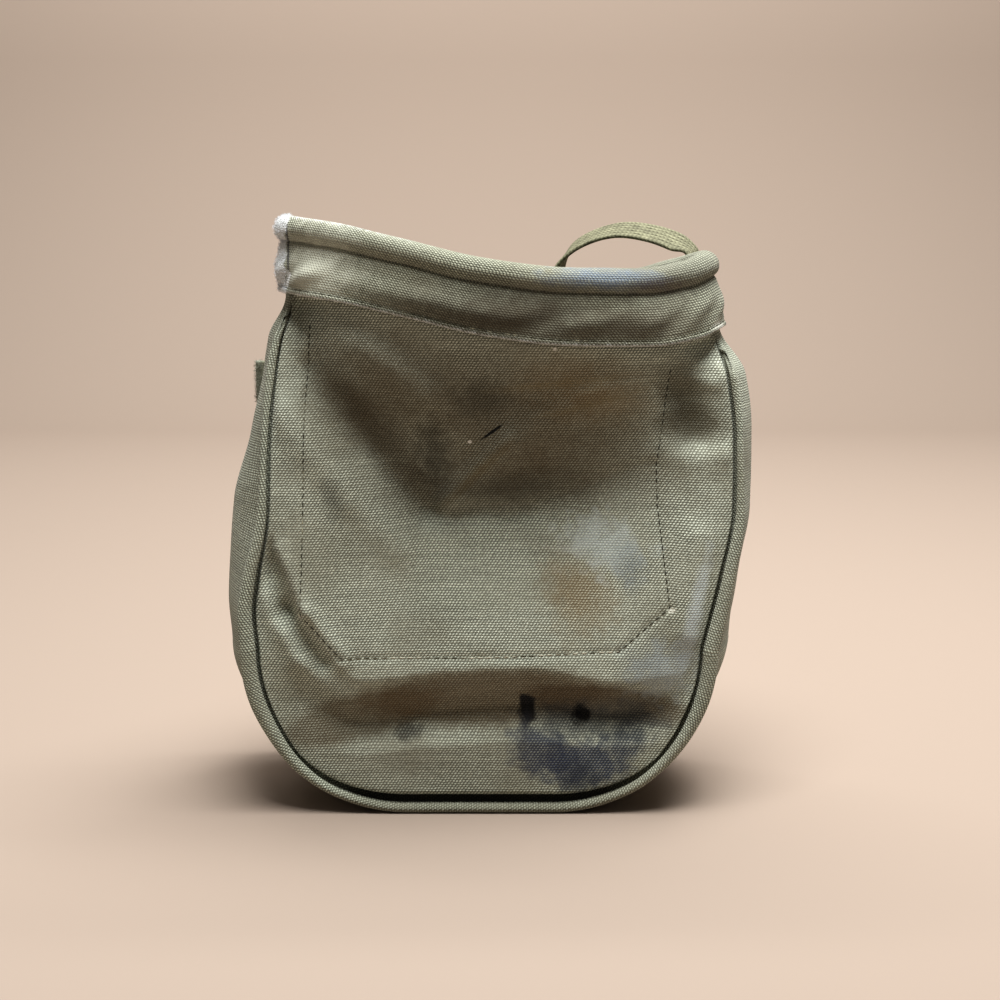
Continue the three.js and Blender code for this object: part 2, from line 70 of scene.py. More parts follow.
# Shared sizes of the cloth and the cut
MM = 0.001
FOOT_MIDDLE = np.array([-4.85, 7.07, 0.0])  # becomes the origin
BODY_NAME = "root"
CLOTH_UV = "cloth"
# the attribute holds rub above 0 and the grooves' painted shade below 0
WEAR_AND_SHADE = "wear"
CLOTH_NORMAL = "cloth_normal"
WALL = 1.6
GAP = 0.3
BAND_HEIGHT = 32.0
ROLL_RADIUS = 5.5
PANEL_TOP = 2 * ROLL_RADIUS + 0.6
BAND_END = BAND_HEIGHT + 1
BODY_START = 52.0
WEB_WIDTH = 19.0
WEB_THICK = 1.8
GROOVE_SHADE_LOST = 0.75  # share of the grooves' painted shade that is gone up the sides
GROOVE_SHADE_GOES = (5.0, 18.0)  # heights that it goes between
LIP_GROWS = (6.0, 42.0)  # heights that the lip grows to its full section between
RIPPLE_SHIFT = 200.0  # moves the panels' ripples across


class Side(Enum):
    """Left or right as the front is seen."""

    LEFT = -1
    RIGHT = 1


class Face(Enum):
    """Front or back of the bag."""

    FRONT = -1
    BACK = 1


class Slot(Enum):
    """Material slots of the record."""

    CANVAS = "canvas"
    RIM = "rim_canvas"
    WEBBING = "webbing"


class Held(Enum):
    """How a sheet of cloth is held."""

    STRETCHED = "stretched"
    HUNG = "hung"


class Seed(Enum):
    """What fixes each random pattern."""

    FRONT = 3
    FRONT_FINE = 4
    BACK = 7
    GUSSET = 11
    ROLL = 21
    FACING = 23
    FACING_LONG = 25
    WORN_CORNER = 27
    POCKET_SIDE_STITCHES = 31
    FACING_STITCHES = 32
    POCKET_LOW_STITCHES = 33
    ROLL_FIBRES = 41
    FACING_FIBRES = 42
    STRAP_FIBRES = 43


class Kind(Enum):
    """Blender's names of the nodes used here."""

    ALIGN = "FunctionNodeAlignRotationToVector"
    ATTRIBUTE = "ShaderNodeAttribute"
    BALL = "GeometryNodeMeshUVSphere"
    BEZIER = "GeometryNodeCurveQuadraticBezier"
    BUMP = "ShaderNodeBump"
    CIRCLE = "GeometryNodeCurvePrimitiveCircle"
    COMBINE = "ShaderNodeCombineXYZ"
    COORDINATES = "ShaderNodeTexCoord"
    EULER = "FunctionNodeEulerToRotation"
    GROUP_INPUT = "NodeGroupInput"
    GROUP_OUTPUT = "NodeGroupOutput"
    HUE = "ShaderNodeHueSaturation"
    INSTANCE = "GeometryNodeInstanceOnPoints"
    MAPPING = "ShaderNodeMapping"
    MATH = "ShaderNodeMath"
    MIX = "ShaderNodeMix"
    NAMED = "GeometryNodeInputNamedAttribute"
    NOISE = "ShaderNodeTexNoise"
    OUTPUT = "ShaderNodeOutputMaterial"
    PRINCIPLED = "ShaderNodeBsdfPrincipled"
    RANDOM = "FunctionNodeRandomValue"
    RANGE = "ShaderNodeMapRange"
    REALIZE = "GeometryNodeRealizeInstances"
    RESAMPLE = "GeometryNodeResampleCurve"
    ROTATE = "FunctionNodeRotateRotation"
    SCATTER = "GeometryNodeDistributePointsOnFaces"
    SEPARATE = "ShaderNodeSeparateXYZ"
    SET_MATERIAL = "GeometryNodeSetMaterial"
    TANGENT = "GeometryNodeInputTangent"
    TO_CURVE = "GeometryNodeMeshToCurve"
    TO_MESH = "GeometryNodeCurveToMesh"
    TRANSFORM = "GeometryNodeTransform"
    UV_MAP = "ShaderNodeUVMap"
    VECTOR = "ShaderNodeVectorMath"


class RimRow(NamedTuple):
    """Top of the roll at one x, along the front edge and along the back edge."""

    x: float
    front: float
    back: float


class BodyRow(NamedTuple):
    """The body at one height: creases, lips' depths, bulges past the creases, share of the full lip."""

    z: float
    left: float
    right: float
    front: float
    back: float
    bulge_left: float
    bulge_right: float
    lip: float


class LipRow(NamedTuple):
    """One place on the full-size lip's section.

    Least is the least share of it where the lip is small, and low the share of its height along the bottom.
    """

    name: str
    inward: float
    back: float
    least: float = 0.0
    low: float = 1.0


class FrontRow(NamedTuple):
    """Fold lines of the front at one x: dent's bottom, ridge on the pocket's seam, hollow, belly."""

    x: float
    dent_z: float
    dent_y: float
    ridge_z: float
    ridge_y: float
    hollow_z: float
    hollow_y: float
    belly_z: float
    belly_y: float


class Fold(NamedTuple):
    """A small fold of the front: its ends, half-width and rise, negative towards the viewer."""

    name: str
    x0: float
    z0: float
    x1: float
    z1: float
    width: float
    rise: float


class BackRow(NamedTuple):
    """Depth of the middle of the back panel at one height."""

    z: float
    y: float


class LegRow(NamedTuple):
    """One place on a leg of the hanging loop: down from the roll, out from the cloth, turned edge-on."""

    down: float
    out: float
    twist: float


class Spot(NamedTuple):
    """One place in front view."""

    x: float
    z: float


class Ramp(NamedTuple):
    """How one value follows another: from low and high, to least and most."""

    low: float
    high: float
    least: float = 0.0
    most: float = 1.0


class StainAndPaintedLight(NamedTuple):
    """A mark on the cloth in front view, in millimetres and degrees; real stains, painted shade and painted
    highlights are all made of these.

    The edge fades over a share of the mark's size, and speckle is the share that misses the thread tops.
    """

    name: str
    x: float
    z: float
    half_width: float
    half_height: float
    turn: float
    colour: str
    strength: float
    fade: float = 0.5
    speckle: float = 0.0
    ragged: float = 1.6


RIM_TOP = (
    RimRow(-92.5, 253.0, 253.0),
    RimRow(-70.0, 249.4, 246.0),
    RimRow(-40.0, 242.5, 237.0),
    RimRow(-8.0, 235.0, 230.0),
    RimRow(25.0, 231.0, 227.0),
    RimRow(58.0, 230.4, 230.0),
    RimRow(78.0, 233.6, 235.0),
    RimRow(89.0, 238.2, 238.2),
)

BODY = (
    BodyRow(70, -109.8, 92.5, -41.5, 43.0, 9.5, 9.0, 1.0),
    BodyRow(85, -110.8, 96.0, -40.0, 42.5, 9.8, 6.5, 0.95),
    BodyRow(100, -108.5, 98.9, -38.5, 41.0, 11.5, 5.0, 0.85),
    BodyRow(130, -102.3, 103.0, -34.0, 37.0, 14.5, 7.0, 0.6),
    BodyRow(160, -101.0, 102.8, -28.0, 31.5, 8.0, 8.0, 0.5),
    BodyRow(190, -98.0, 99.3, -21.0, 24.0, 4.8, 7.0, 0.45),
    BodyRow(220, -91.0, 93.0, -14.0, 14.0, 6.0, 6.0, 0.3),
)

# From the seam allowance turned inside, over the rounded lip, to the valley before the gusset's bulge
LIP = (
    LipRow("allowance", 12.5, 16.0, 0.7),
    LipRow("groove", 8.6, 10.5, 0.5),
    LipRow("slot", 4.2, 5.6, 0.4, 0.55),
    LipRow("throat", 6.6, 2.4, 0.0, 0.6),
    LipRow("nose", 3.6, 0.0, 0.0, 0.6),
    LipRow("shoulder", 0.7, 1.2, 0.0, 0.6),
    LipRow("heel", 0.0, 4.0),
    LipRow("valley", 1.6, 6.4, 0.75),
    LipRow("rise", 0.2, 9.0, 0.75),
)
LIP_GROOVE = 6.8
LOW_GROOVE = 0.66  # share of it along the bottom, where the lip is slimmer
PANEL_SET = 4.6

FRONT_ROWS = (
    FrontRow(-84, 186, -23.0, 84, -39.0, 48, -35.0, 26, -37.5),
    FrontRow(-58, 157, -20.0, 58, -38.5, 37, -29.5, 25, -36.8),
    FrontRow(-28, 128, -14.0, 61, -37.0, 41, -27.5, 28, -36.2),
    FrontRow(12, 131, -15.0, 63, -37.0, 44, -27.5, 30, -36.2),
    FrontRow(48, 143, -18.0, 57, -37.5, 40, -28.0, 28, -36.2),
    FrontRow(84, 158, -24.0, 62, -38.0, 45, -31.0, 33, -37.0),
)

FRONT_FOLDS = (
    Fold("tension fold from the left corner", -72, 212, -32, 178, 8, -4.2),
    Fold("ridge up from the dent's tip", -24, 130, 4, 158, 5, -3.4),
    Fold("soft fold inside the dent", 4, 158, 42, 180, 9, -3.4),
    Fold("pinch by the right seam", 73, 190, 83, 162, 9, 6.5),
    Fold("swell under the pinch", 64, 152, 95, 153, 6, -1.6),
    Fold("crease in the dent's right", 34, 179, 58, 184, 2.5, -1.0),
    Fold("crease under it", 30, 170, 56, 178, 2.5, -0.8),
    Fold("upright fold by the right seam", 82, 118, 80, 78, 7, -2.5),
    Fold("crease along the dent's bottom", -33, 126, 14, 127, 5, 1.8),
    Fold("crease up the dent's left side", -80, 189, -30, 128, 7, 4.2),
    Fold("swell below the dent's left side", -92, 170, -44, 112, 8, -3.2),
    Fold("crease up the dent's right side", 14, 127, 50, 140, 7, 1.2),
    Fold("groove beside the pocket's corner", -100, 113, -91, 87, 5, 5.0),
    Fold("groove under the pocket's corner", -91, 87, -76, 66, 4, 4.0),
    Fold("swell outside the groove", -99, 94, -84, 66, 5, -2.2),
    Fold("swell below the groove", -84, 66, -66, 48, 6, -2.2),
    Fold("edge of the pocket's corner", -93, 113, -82, 88, 4, -2.4),
    Fold("edge under the pocket's corner", -82, 88, -66, 67, 4, -2.0),
    Fold("fold in the lower hollow", -40, 50, 8, 57, 4, -1.2),
    Fold("upper fan fold at the right seam", 78, 194, 96, 188, 4, -2.0),
    Fold("lower fan fold at the right seam", 74, 186, 92, 182, 4, -1.8),
)

BACK_MIDDLE = (
    BackRow(12, 38.0),
    BackRow(60, 39.5),
    BackRow(120, 38.5),
    BackRow(165, 37.2),
    BackRow(195, 36.6),
)

LOOP_LEG = (
    LegRow(30.5, 3.7, 0),
    LegRow(19.0, 4.0, 0),
    LegRow(11.0, 9.4, 16),
    LegRow(4.0, 13.8, 50),
    LegRow(-3.0, 15.0, 82),
)

LOOP_ARCH = (
    Spot(32.5, 238.7),
    Spot(41.5, 244.4),
    Spot(54.7, 247.7),
    Spot(68.4, 246.0),
    Spot(79.0, 242.2),
)

POCKET_SEAM = (
    Spot(-80.3, 205.5),
    Spot(-82.1, 177.0),
    Spot(-83.9, 86.4),
    Spot(-67.0, 67.2),
    Spot(-8.4, 66.8),
    Spot(50.5, 69.4),
    Spot(72.0, 88.0),
    Spot(67.0, 130.0),
    Spot(66.5, 148.0),
    Spot(71.6, 187.2),
)

FRONT_STAINS_AND_PAINTED_LIGHT = (
    # painted shade: the next four marks darken the dent's upper part, which faces down away from the light,
    # in the brown of light bounced off the floor
    StainAndPaintedLight("brown tint in the dent", 6, 167, 60, 25, -14, "#4d3a1b", 0.62, 0.6, 0.0, 0.5),
    StainAndPaintedLight("brown tint low in the dent", -6, 140, 36, 11, 3, "#4d3d22", 0.45, 0.6, 0.0, 0.5),
    StainAndPaintedLight("brown tint left in the dent", -54, 182, 24, 22, 0, "#54452a", 0.4, 0.6, 0.0, 0.5),
    StainAndPaintedLight("dark edge of the dent's left", -50, 158, 40, 8, -50, "#3d3220", 0.5, 0.5, 0.0, 0.4),
    StainAndPaintedLight("ochre tint in the dent", 38, 182, 24, 12, -10, "#7a5c26", 0.4, 0.6, 0.0, 0.7),
    StainAndPaintedLight("tan crease in the dent", 25, 183, 24, 1.6, 6, "#8d8163", 0.4, 0.6, 0.0, 0.6),
    StainAndPaintedLight("tan crease under it", 40, 175, 20, 1.4, 14, "#877b5d", 0.36, 0.6, 0.0, 0.6),
    StainAndPaintedLight("tan ridge from the dent's tip", -11, 143, 18, 2.0, 46, "#776b4c", 0.4, 0.6, 0.0, 0.6),
    StainAndPaintedLight("dark smudge in the dent", -28, 152, 6, 14, 10, "#26251c", 0.5, 0.6),
    StainAndPaintedLight("dark smudge right of it", -8, 176, 10, 7, 0, "#26251c", 0.4, 0.6),
    # painted shadow: the next three marks are the shadow that the ridge on the pocket's lower seam casts on
    # the hollow, crisp along its lower edge
    StainAndPaintedLight("brown tint in the lower hollow's left", -60, 41, 36, 10, 14, "#54401f", 0.5, 0.2, 0.0, 0.35),
    StainAndPaintedLight("brown tint in the lower hollow", -5, 49, 54, 13, 2, "#5a431f", 0.6, 0.18, 0.0, 0.35),
    StainAndPaintedLight("brown tint in the lower hollow's right", 46, 46, 36, 8.5, -5, "#503e24", 0.64, 0.18, 0.0, 0.35),
    # painted shade: the next two marks darken the pinch by the right seam, crisp along its lower edge
    StainAndPaintedLight("brown tint by the right seam", 77, 179, 8, 12, 18, "#453a22", 0.5, 0.5, 0.0, 0.5),
    StainAndPaintedLight("brown tint under the pinch", 82, 165, 14, 7, -4, "#453a22", 0.6, 0.35, 0.0, 0.5),
    StainAndPaintedLight("dark tint right of the dent's tip", 5, 136, 26, 7, 6, "#2f312b", 0.4, 0.6, 0.0, 0.7),
    StainAndPaintedLight("rust tint", 34, 94, 13, 15, 10, "#8c7040", 0.4, 0.6),
    StainAndPaintedLight("pale smudge", 45, 113, 15, 10, -15, "#c4cfce", 0.6, 0.5, 0.3, 3.0),
    StainAndPaintedLight("pale rub by the right corner", 70, 61, 12, 10, 30, "#b4bfc0", 0.6, 0.5, 0.3, 3.0),
    # painted highlight over a pale rub, along the upright ridge by the right seam
    StainAndPaintedLight("pale streak by the right seam", 83, 90, 2.6, 21, -12, "#c6d0d2", 0.6, 0.6, 0.2),
    StainAndPaintedLight("grey smudge on the left", -71, 134, 4, 8, 10, "#474a45", 0.55, 0.6, 0.4),
    StainAndPaintedLight("ink patch's left", 19, 24, 15, 9, -25, "#233350", 0.92, 0.35, 0.5),
    StainAndPaintedLight("ink patch's middle", 36, 21, 17, 10, 0, "#233350", 0.92, 0.35, 0.5),
    StainAndPaintedLight("ink patch's right", 52, 28, 11, 6, 25, "#2f394b", 0.7, 0.5, 0.55),
    StainAndPaintedLight("ink patch's faded top", 37, 38, 25, 8, 0, "#3e4549", 0.74, 0.5, 0.4),
    StainAndPaintedLight("ink patch's tail", 34, 13, 9, 8, 0, "#26303f", 0.7, 0.35, 0.4),
    StainAndPaintedLight("ink blot on the left", 11.5, 43, 3.6, 6.5, 8, "#0e0f12", 0.97, 0.25),
    StainAndPaintedLight("ink line under the blot", 10.2, 32, 2.4, 8, -6, "#2a3140", 0.72, 0.6, 0.3, 1.2),
    StainAndPaintedLight("ink spot", 34.7, 40.6, 3.8, 4.2, 0, "#0c0d0e", 0.98, 0.25),
    StainAndPaintedLight("ink rub on the right", 60, 40, 8, 8, 0, "#3e4142", 0.6, 0.6, 0.5),
    StainAndPaintedLight("black rub low on the left", -39, 33.6, 6, 3.0, 15, "#26282a", 0.8, 0.4, 0.4),
    StainAndPaintedLight("black thread caught in the dent", -3.4, 162.3, 5.8, 0.6, 37, "#0b0b0c", 0.98, 0.3, 0.0, 0.5),
    StainAndPaintedLight("white fleck in the dent", -12.8, 157.8, 0.9, 0.7, 0, "#e8e6dc", 0.95, 0.3, 0.0, 0.5),
    StainAndPaintedLight("white fleck by the facing", 22.4, 197.7, 0.8, 0.6, 0, "#e8e6dc", 0.9, 0.3, 0.0, 0.5),
    StainAndPaintedLight("knot at the pocket's left corner", -84.0, 85.8, 1.1, 1.0, 0, "#dcdccd", 0.9, 0.4, 0.0, 0.5),
    StainAndPaintedLight("knot at the pocket's right corner", 72.8, 87.2, 1.4, 0.9, 20, "#dcdccd", 0.85, 0.4, 0.0, 0.5),
    StainAndPaintedLight("grey smudge under the pale one", 56, 104, 6, 8, 0, "#6f777b", 0.5, 0.6, 0.3, 2.5),
    StainAndPaintedLight("grey rub by the right corner", 62, 66, 12, 7, 15, "#747b7e", 0.45, 0.6, 0.3, 2.5),
    StainAndPaintedLight("grey streak by the right seam", 79, 72, 4, 14, -20, "#9aa1a1", 0.4, 0.6, 0.3, 1.5),
    # painted shade: darkens the low belly, standing in for its turn down away from the light
    StainAndPaintedLight("soil on the belly", -22, 22, 58, 16, 0, "#5f5848", 0.28, 0.6, 0.0, 0.6),
)

RIM_STAINS_AND_PAINTED_SHADE = (
    StainAndPaintedLight("pale left end of the facing", -76, 232, 15, 15, 0, "#dcdecd", 0.55, 0.5, 0.3),
    # painted shade: a dark line where the cloth folds at the worn corner
    StainAndPaintedLight("crease at the worn corner", -89.6, 240, 0.6, 16, 2, "#2b2c33", 0.8, 0.4, 0.0, 0.5),
    StainAndPaintedLight("dirty right end of the roll", 66, 229, 26, 8, 4, "#57544a", 0.5, 0.5, 0.2),
    StainAndPaintedLight("blue smudge on the roll", 42, 226, 22, 4, -2, "#8296b0", 0.5, 0.5, 0.4),
    # painted shade on the roll's lower side, which faces down away from the light
    StainAndPaintedLight("brown smudge under the roll", 66, 223, 12, 3, 4, "#4a3733", 0.5, 0.5, 0.3),
    # The next two marks are brown dirt on the facing and painted shade under the roll's overhang.
    StainAndPaintedLight("brown tint on the facing", 4, 211, 44, 11, -4, "#3f3526", 0.8, 0.6, 0.0, 0.8),
    StainAndPaintedLight("dark tint on the facing's right", 58, 207, 22, 8, 6, "#4c4030", 0.45, 0.6, 0.0, 0.8),
    StainAndPaintedLight("frayed spot at the facing's right end", 93, 206, 3, 2.5, 0, "#d6d6ca", 0.8, 0.4),
)

# painted shade: darkens the bottom lip, which sits in the bag's own shade
BASE_PAINTED_SHADE = (StainAndPaintedLight("soil along the bottom lip", -12, 1, 90, 8, 0, "#5f5a49", 0.5, 0.5, 0.0, 0.8),)


# Curves, noise and grids
def linear(hex_colour: str) -> tuple[float, float, float, float]:
    """Turn an sRGB hex value into a linear colour.

    Args:
        hex_colour: a value such as "#8c8f80".

    Returns:
        Red, green, blue and alpha for a shader socket.
    """
    parts = [int(hex_colour[i : i + 2], 16) / 255 for i in (1, 3, 5)]
    r, g, b = [p / 12.92 if p <= 0.04045 else ((p + 0.055) / 1.055) ** 2.4 for p in parts]
    return (r, g, b, 1.0)


def smoothstep(value: Array, low: float, high: float) -> Array:
    """Ease from 0 at low to 1 at high."""
    t = np.clip((np.asarray(value, float) - low) / (high - low), 0, 1)
    return t * t * (3 - 2 * t)


def bump_of(value: Array, reach: float) -> Array:
    """A smooth bump that is 1 at 0 and fades over the reach."""
    return np.exp(-((value / reach) ** 2))


def mix(a: Array, b: Array, share: Array) -> Array:
    """Blend a into b by share."""
    return a + (b - a) * share


def through(xs: Sequence, ys: Sequence, at: Array) -> Array:
    """Smooth curve through knots that never swings past them, flat beyond its ends.

    Args:
        xs: knots, each a number or an array that broadcasts with at.
        ys: values at the knots.
        at: where the curve is read.

    Returns:
        The curve's values.
    """
    shape = np.broadcast_shapes(np.shape(at), *(np.shape(v) for v in (*xs, *ys)))
    x = np.stack([np.broadcast_to(v, shape) for v in xs]).astype(float)
    y = np.stack([np.broadcast_to(v, shape) for v in ys]).astype(float)
    at = np.clip(np.broadcast_to(at, shape), x[0], x[-1])
    step = np.diff(x, axis=0)
    slope = np.diff(y, axis=0) / step
    before, after = slope[:-1], slope[1:]
    same = before * after > 0
    middle = np.where(same, 2 * before * after / np.where(same, before + after, 1), 0)
    lean = np.concatenate([slope[:1], middle, slope[-1:]])
    result = y[0].copy()
    for i in range(len(step)):
        t = (at - x[i]) / step[i]
        bend = (2 * t**3 - 3 * t**2 + 1) * y[i] + (t**3 - 2 * t**2 + t) * step[i] * lean[i]
        bend += (3 * t**2 - 2 * t**3) * y[i + 1] + (t**3 - t**2) * step[i] * lean[i + 1]
        result = np.where((t >= 0) & (t <= 1), bend, result)
    return result


def straight(xs: Sequence, ys: Sequence, at: Array) -> Array:
    """Straight runs between knots, flat beyond the ends.

    Args:
        xs: knots, each a number or an array that broadcasts with at.
        ys: values at the knots.
        at: where the runs are read.

    Returns:
        The values there.
    """
    shape = np.broadcast_shapes(np.shape(at), *(np.shape(v) for v in (*xs, *ys)))
    result = np.broadcast_to(ys[0], shape).astype(float)
    for x0, y0, x1, y1 in zip(xs, ys, xs[1:], ys[1:]):
        result = np.where(at >= x0, mix(y0, y1, np.clip((at - x0) / (x1 - x0), 0, 1)), result)
    return result


def column(rows: Sequence, key: str, name: str, at: Array) -> Array:
    """Read one column of a table at places along its key column."""
    return through([getattr(row, key) for row in rows], [getattr(row, name) for row in rows], at)


def ripples(u: Array, v: Array, cell: float, seed: Seed) -> Array:
    """Smooth seeded noise from -1 to 1.

    Args:
        u: places across, in millimetres.
        v: places down.
        cell: size of one ripple.
        seed: fixes the pattern.

    Returns:
        The noise at those places.
    """
    size = 64
    lattice = np.random.default_rng(seed.value).uniform(-1, 1, (size, size))
    a, b = np.floor(u / cell).astype(int), np.floor(v / cell).astype(int)
    s, t = smoothstep(u / cell - a, 0, 1), smoothstep(v / cell - b, 0, 1)
    near = mix(lattice[a % size, b % size], lattice[(a + 1) % size, b % size], s)
    far = mix(lattice[a % size, (b + 1) % size], lattice[(a + 1) % size, (b + 1) % size], s)
    return mix(near, far, t)


def catmull(points: Array, at: Array) -> Array:
    """Centripetal spline through points.

    Args:
        points: places, one row each.
        at: shares of the way, from 0 to 1, equal steps from point to point.

    Returns:
        Places on the spline.
    """
    ends = [2 * points[0] - points[1], *points, 2 * points[-1] - points[-2]]
    run = np.clip(at, 0, 1) * (len(points) - 1)
    first = np.minimum(run.astype(int), len(points) - 2)
    t = (run - first)[:, None]
    p0, p1, p2, p3 = (np.array(ends)[first + k] for k in range(4))
    spans = (p1 - p0, p2 - p1, p3 - p2)
    d0, d1, d2 = (np.sqrt(np.maximum(np.linalg.norm(s, axis=1), 1e-6))[:, None] for s in spans)
    lean1 = ((p1 - p0) / d0 - (p2 - p0) / (d0 + d1) + (p2 - p1) / d1) * d1
    lean2 = ((p2 - p1) / d1 - (p3 - p1) / (d1 + d2) + (p3 - p2) / d2) * d1
    curve = (2 * t**3 - 3 * t**2 + 1) * p1 + (t**3 - 2 * t**2 + t) * lean1
    return curve + (3 * t**2 - 2 * t**3) * p2 + (t**3 - t**2) * lean2


def unit(vectors: Array) -> Array:
    """Vectors of length 1."""
    return vectors / np.linalg.norm(vectors, axis=-1, keepdims=True)


def shade_left(z: Array) -> Array:
    """Share of the grooves' painted shade by height: all of it along the bottom, a quarter up the sides."""
    return 1 - GROOVE_SHADE_LOST * smoothstep(z, *GROOVE_SHADE_GOES)


def flat_places(points: Array) -> Array:
    """Lay a grid of places flat.

    Args:
        points: rows, columns and drawing millimetres.

    Returns:
        Places on the flat cloth, in millimetres along its threads.
    """
    across = np.linalg.norm(np.diff(points, axis=1), axis=2)
    down = np.linalg.norm(np.diff(points, axis=0), axis=2).mean(axis=1)
    u = np.concatenate([np.zeros((len(points), 1)), np.cumsum(across, axis=1)], axis=1)
    v = np.concatenate([[0.0], np.cumsum(down)])[:, None]
    middle = points.shape[1] // 2
    return np.stack(np.broadcast_arrays(u - u[:, middle : middle + 1], v), axis=2)


def new_object(name: str, mesh: bpy.types.Mesh) -> Object:
    """Put a mesh into the scene as an object at the origin.

    Args:
        name: name of the object.
        mesh: its mesh.

    Returns:
        The new object.
    """
    piece = bpy.data.objects.new(name, mesh)
    bpy.context.scene.collection.objects.link(piece)
    return piece


def grid_object(
    name: str,
    points: Array,
    wear: Array | float = 0.0,
    ring: bool = False,
    tube: bool = False,
    upright: bool = False,
) -> Object:
    """Make a mesh from a grid of points, with its cloth UV map and its wear.

    Args:
        name: name of the piece.
        points: rows, columns and drawing millimetres. Down a column then along a row turns outwards.
        wear: how rubbed the cloth is at each point, up to 1, or how dark its painted groove shade is, down
            to -1.
        ring: the last column joins the first.
        tube: the last row joins the first.
        upright: the threads run level and plumb in front view.

    Returns:
        The new object, at the origin.
    """
    rows, columns = points.shape[:2]
    index = np.arange(rows * columns).reshape(rows, columns)
    spread = points
    if ring:
        index = np.concatenate([index, index[:, :1]], axis=1)
        spread = np.concatenate([spread, spread[:, :1]], axis=1)
    if tube:
        index = np.concatenate([index, index[:1]])
        spread = np.concatenate([spread, spread[:1]])
    places = spread[..., [0, 2]] if upright else flat_places(spread)
    corners = [(slice(None, -1), slice(None, -1)), (slice(1, None), slice(None, -1))]
    corners += [(slice(1, None), slice(1, None)), (slice(None, -1), slice(1, None))]
    faces = np.stack([index[c] for c in corners], axis=2).reshape(-1, 4)
    uvs = np.stack([places[c] for c in corners], axis=2).reshape(-1, 2)
    mesh = bpy.data.meshes.new(name)
    vertices = (points.reshape(-1, 3) - FOOT_MIDDLE) * MM
    mesh.from_pydata(vertices.tolist(), [], faces.tolist())
    mesh.uv_layers.new(name=CLOTH_UV).data.foreach_set("uv", uvs.astype(np.float32).ravel())
    rubbed = np.broadcast_to(np.asarray(wear, np.float32), (rows, columns))
    mesh.attributes.new(WEAR_AND_SHADE, "FLOAT", "POINT").data.foreach_set("value", rubbed.ravel())
    mesh.shade_smooth()
    return new_object(name, mesh)


def settle(piece: Object) -> Object:
    """Turn a piece's modifiers into plain mesh.

    Args:
        piece: an object with modifiers.

    Returns:
        The same object without them.
    """
    graph = bpy.context.evaluated_depsgraph_get()
    mesh = bpy.data.meshes.new_from_object(piece.evaluated_get(graph))
    old = piece.data
    piece.modifiers.clear()
    piece.data = mesh
    bpy.data.meshes.remove(old)
    mesh.name = piece.name
    return piece


def thicken(piece: Object, wall: float) -> Object:
    """Give a sheet its wall, inwards from its outer skin.

    Args:
        piece: the skin.
        wall: thickness in millimetres.

    Returns:
        The same object as a closed wall.
    """
    modifier = piece.modifiers.new("wall", "SOLIDIFY")
    modifier.thickness = wall * MM
    modifier.offset = -1
    return settle(piece)


def place(piece: Object, slot: Slot, *nodes: str) -> Object:
    """Ride a piece on the bag.

    Args:
        piece: the finished piece.
        slot: not used.
        nodes: CAD nodes that it stands for.

    Returns:
        The same piece.
    """
    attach(piece, BODY_NAME)
    if nodes:
        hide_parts(*nodes)
    log.info("%s: %d vertices, stands for %s", piece.name, len(piece.data.vertices), nodes or "nothing")
    return piece


def cover(piece: Object, material: Material) -> Object:
    """Put one material on a piece.

    Args:
        piece: the piece.
        material: its only material.

    Returns:
        The same piece.
    """
    piece.data.materials.clear()
    piece.data.materials.append(material)
    return piece


# Finishes. A Map Range node takes its value and then a ramp, and a Mix node takes its colours at 6 and 7.
def add(tree: Tree, kind: Kind, inputs: Sequence | dict = (), **settings: Any) -> Node:
    """Add one node.

    Args:
        tree: the tree that gets it.
        kind: which node.
        inputs: values in the order of the sockets, or by name or number. A node or an output is linked.
        settings: properties of the node.

    Returns:
        The new node.
    """
    node = tree.nodes.new(kind.value)
    for key, value in settings.items():
        setattr(node, key, value)
    pairs = inputs.items() if isinstance(inputs, dict) else enumerate(inputs)
    for key, value in pairs:
        if isinstance(value, Node):
            value = next(socket for socket in value.outputs if socket.enabled)
        if isinstance(value, Socket):
            tree.links.new(value, node.inputs[key])
        else:
            node.inputs[key].default_value = value
    return node


def shader_tree(name: str, **constants: float) -> tuple[Material, Tree, Node]:
    """Make a material with a principled shader.

    Args:
        name: what the real material is.
        constants: values that are the same all over, by socket name with _ for a space.

    Returns:
        The material, its tree and its principled shader.
    """
    material = bpy.data.materials.new(name)
    material.use_nodes = True
    tree = material.node_tree
    tree.nodes.clear()
    shader = add(tree, Kind.PRINCIPLED, {key.replace("_", " "): value for key, value in constants.items()})
    add(tree, Kind.OUTPUT, {"Surface": shader})
    return material, tree, shader


class Patch(NamedTuple):
    """A blotchy tint: its colour, its size in millimetres, its detail and its strength by noise."""

    name: str
    colour: str
    size: float
    detail: float
    strength: Ramp


DUCK_PATCHES = (
    Patch("washed out", "#a9aa99", 28.0, 3, Ramp(0.42, 0.75, 0, 0.4)),
    Patch("grime", "#5b5038", 42.0, 5, Ramp(0.48, 0.72, 0, 0.4)),
)


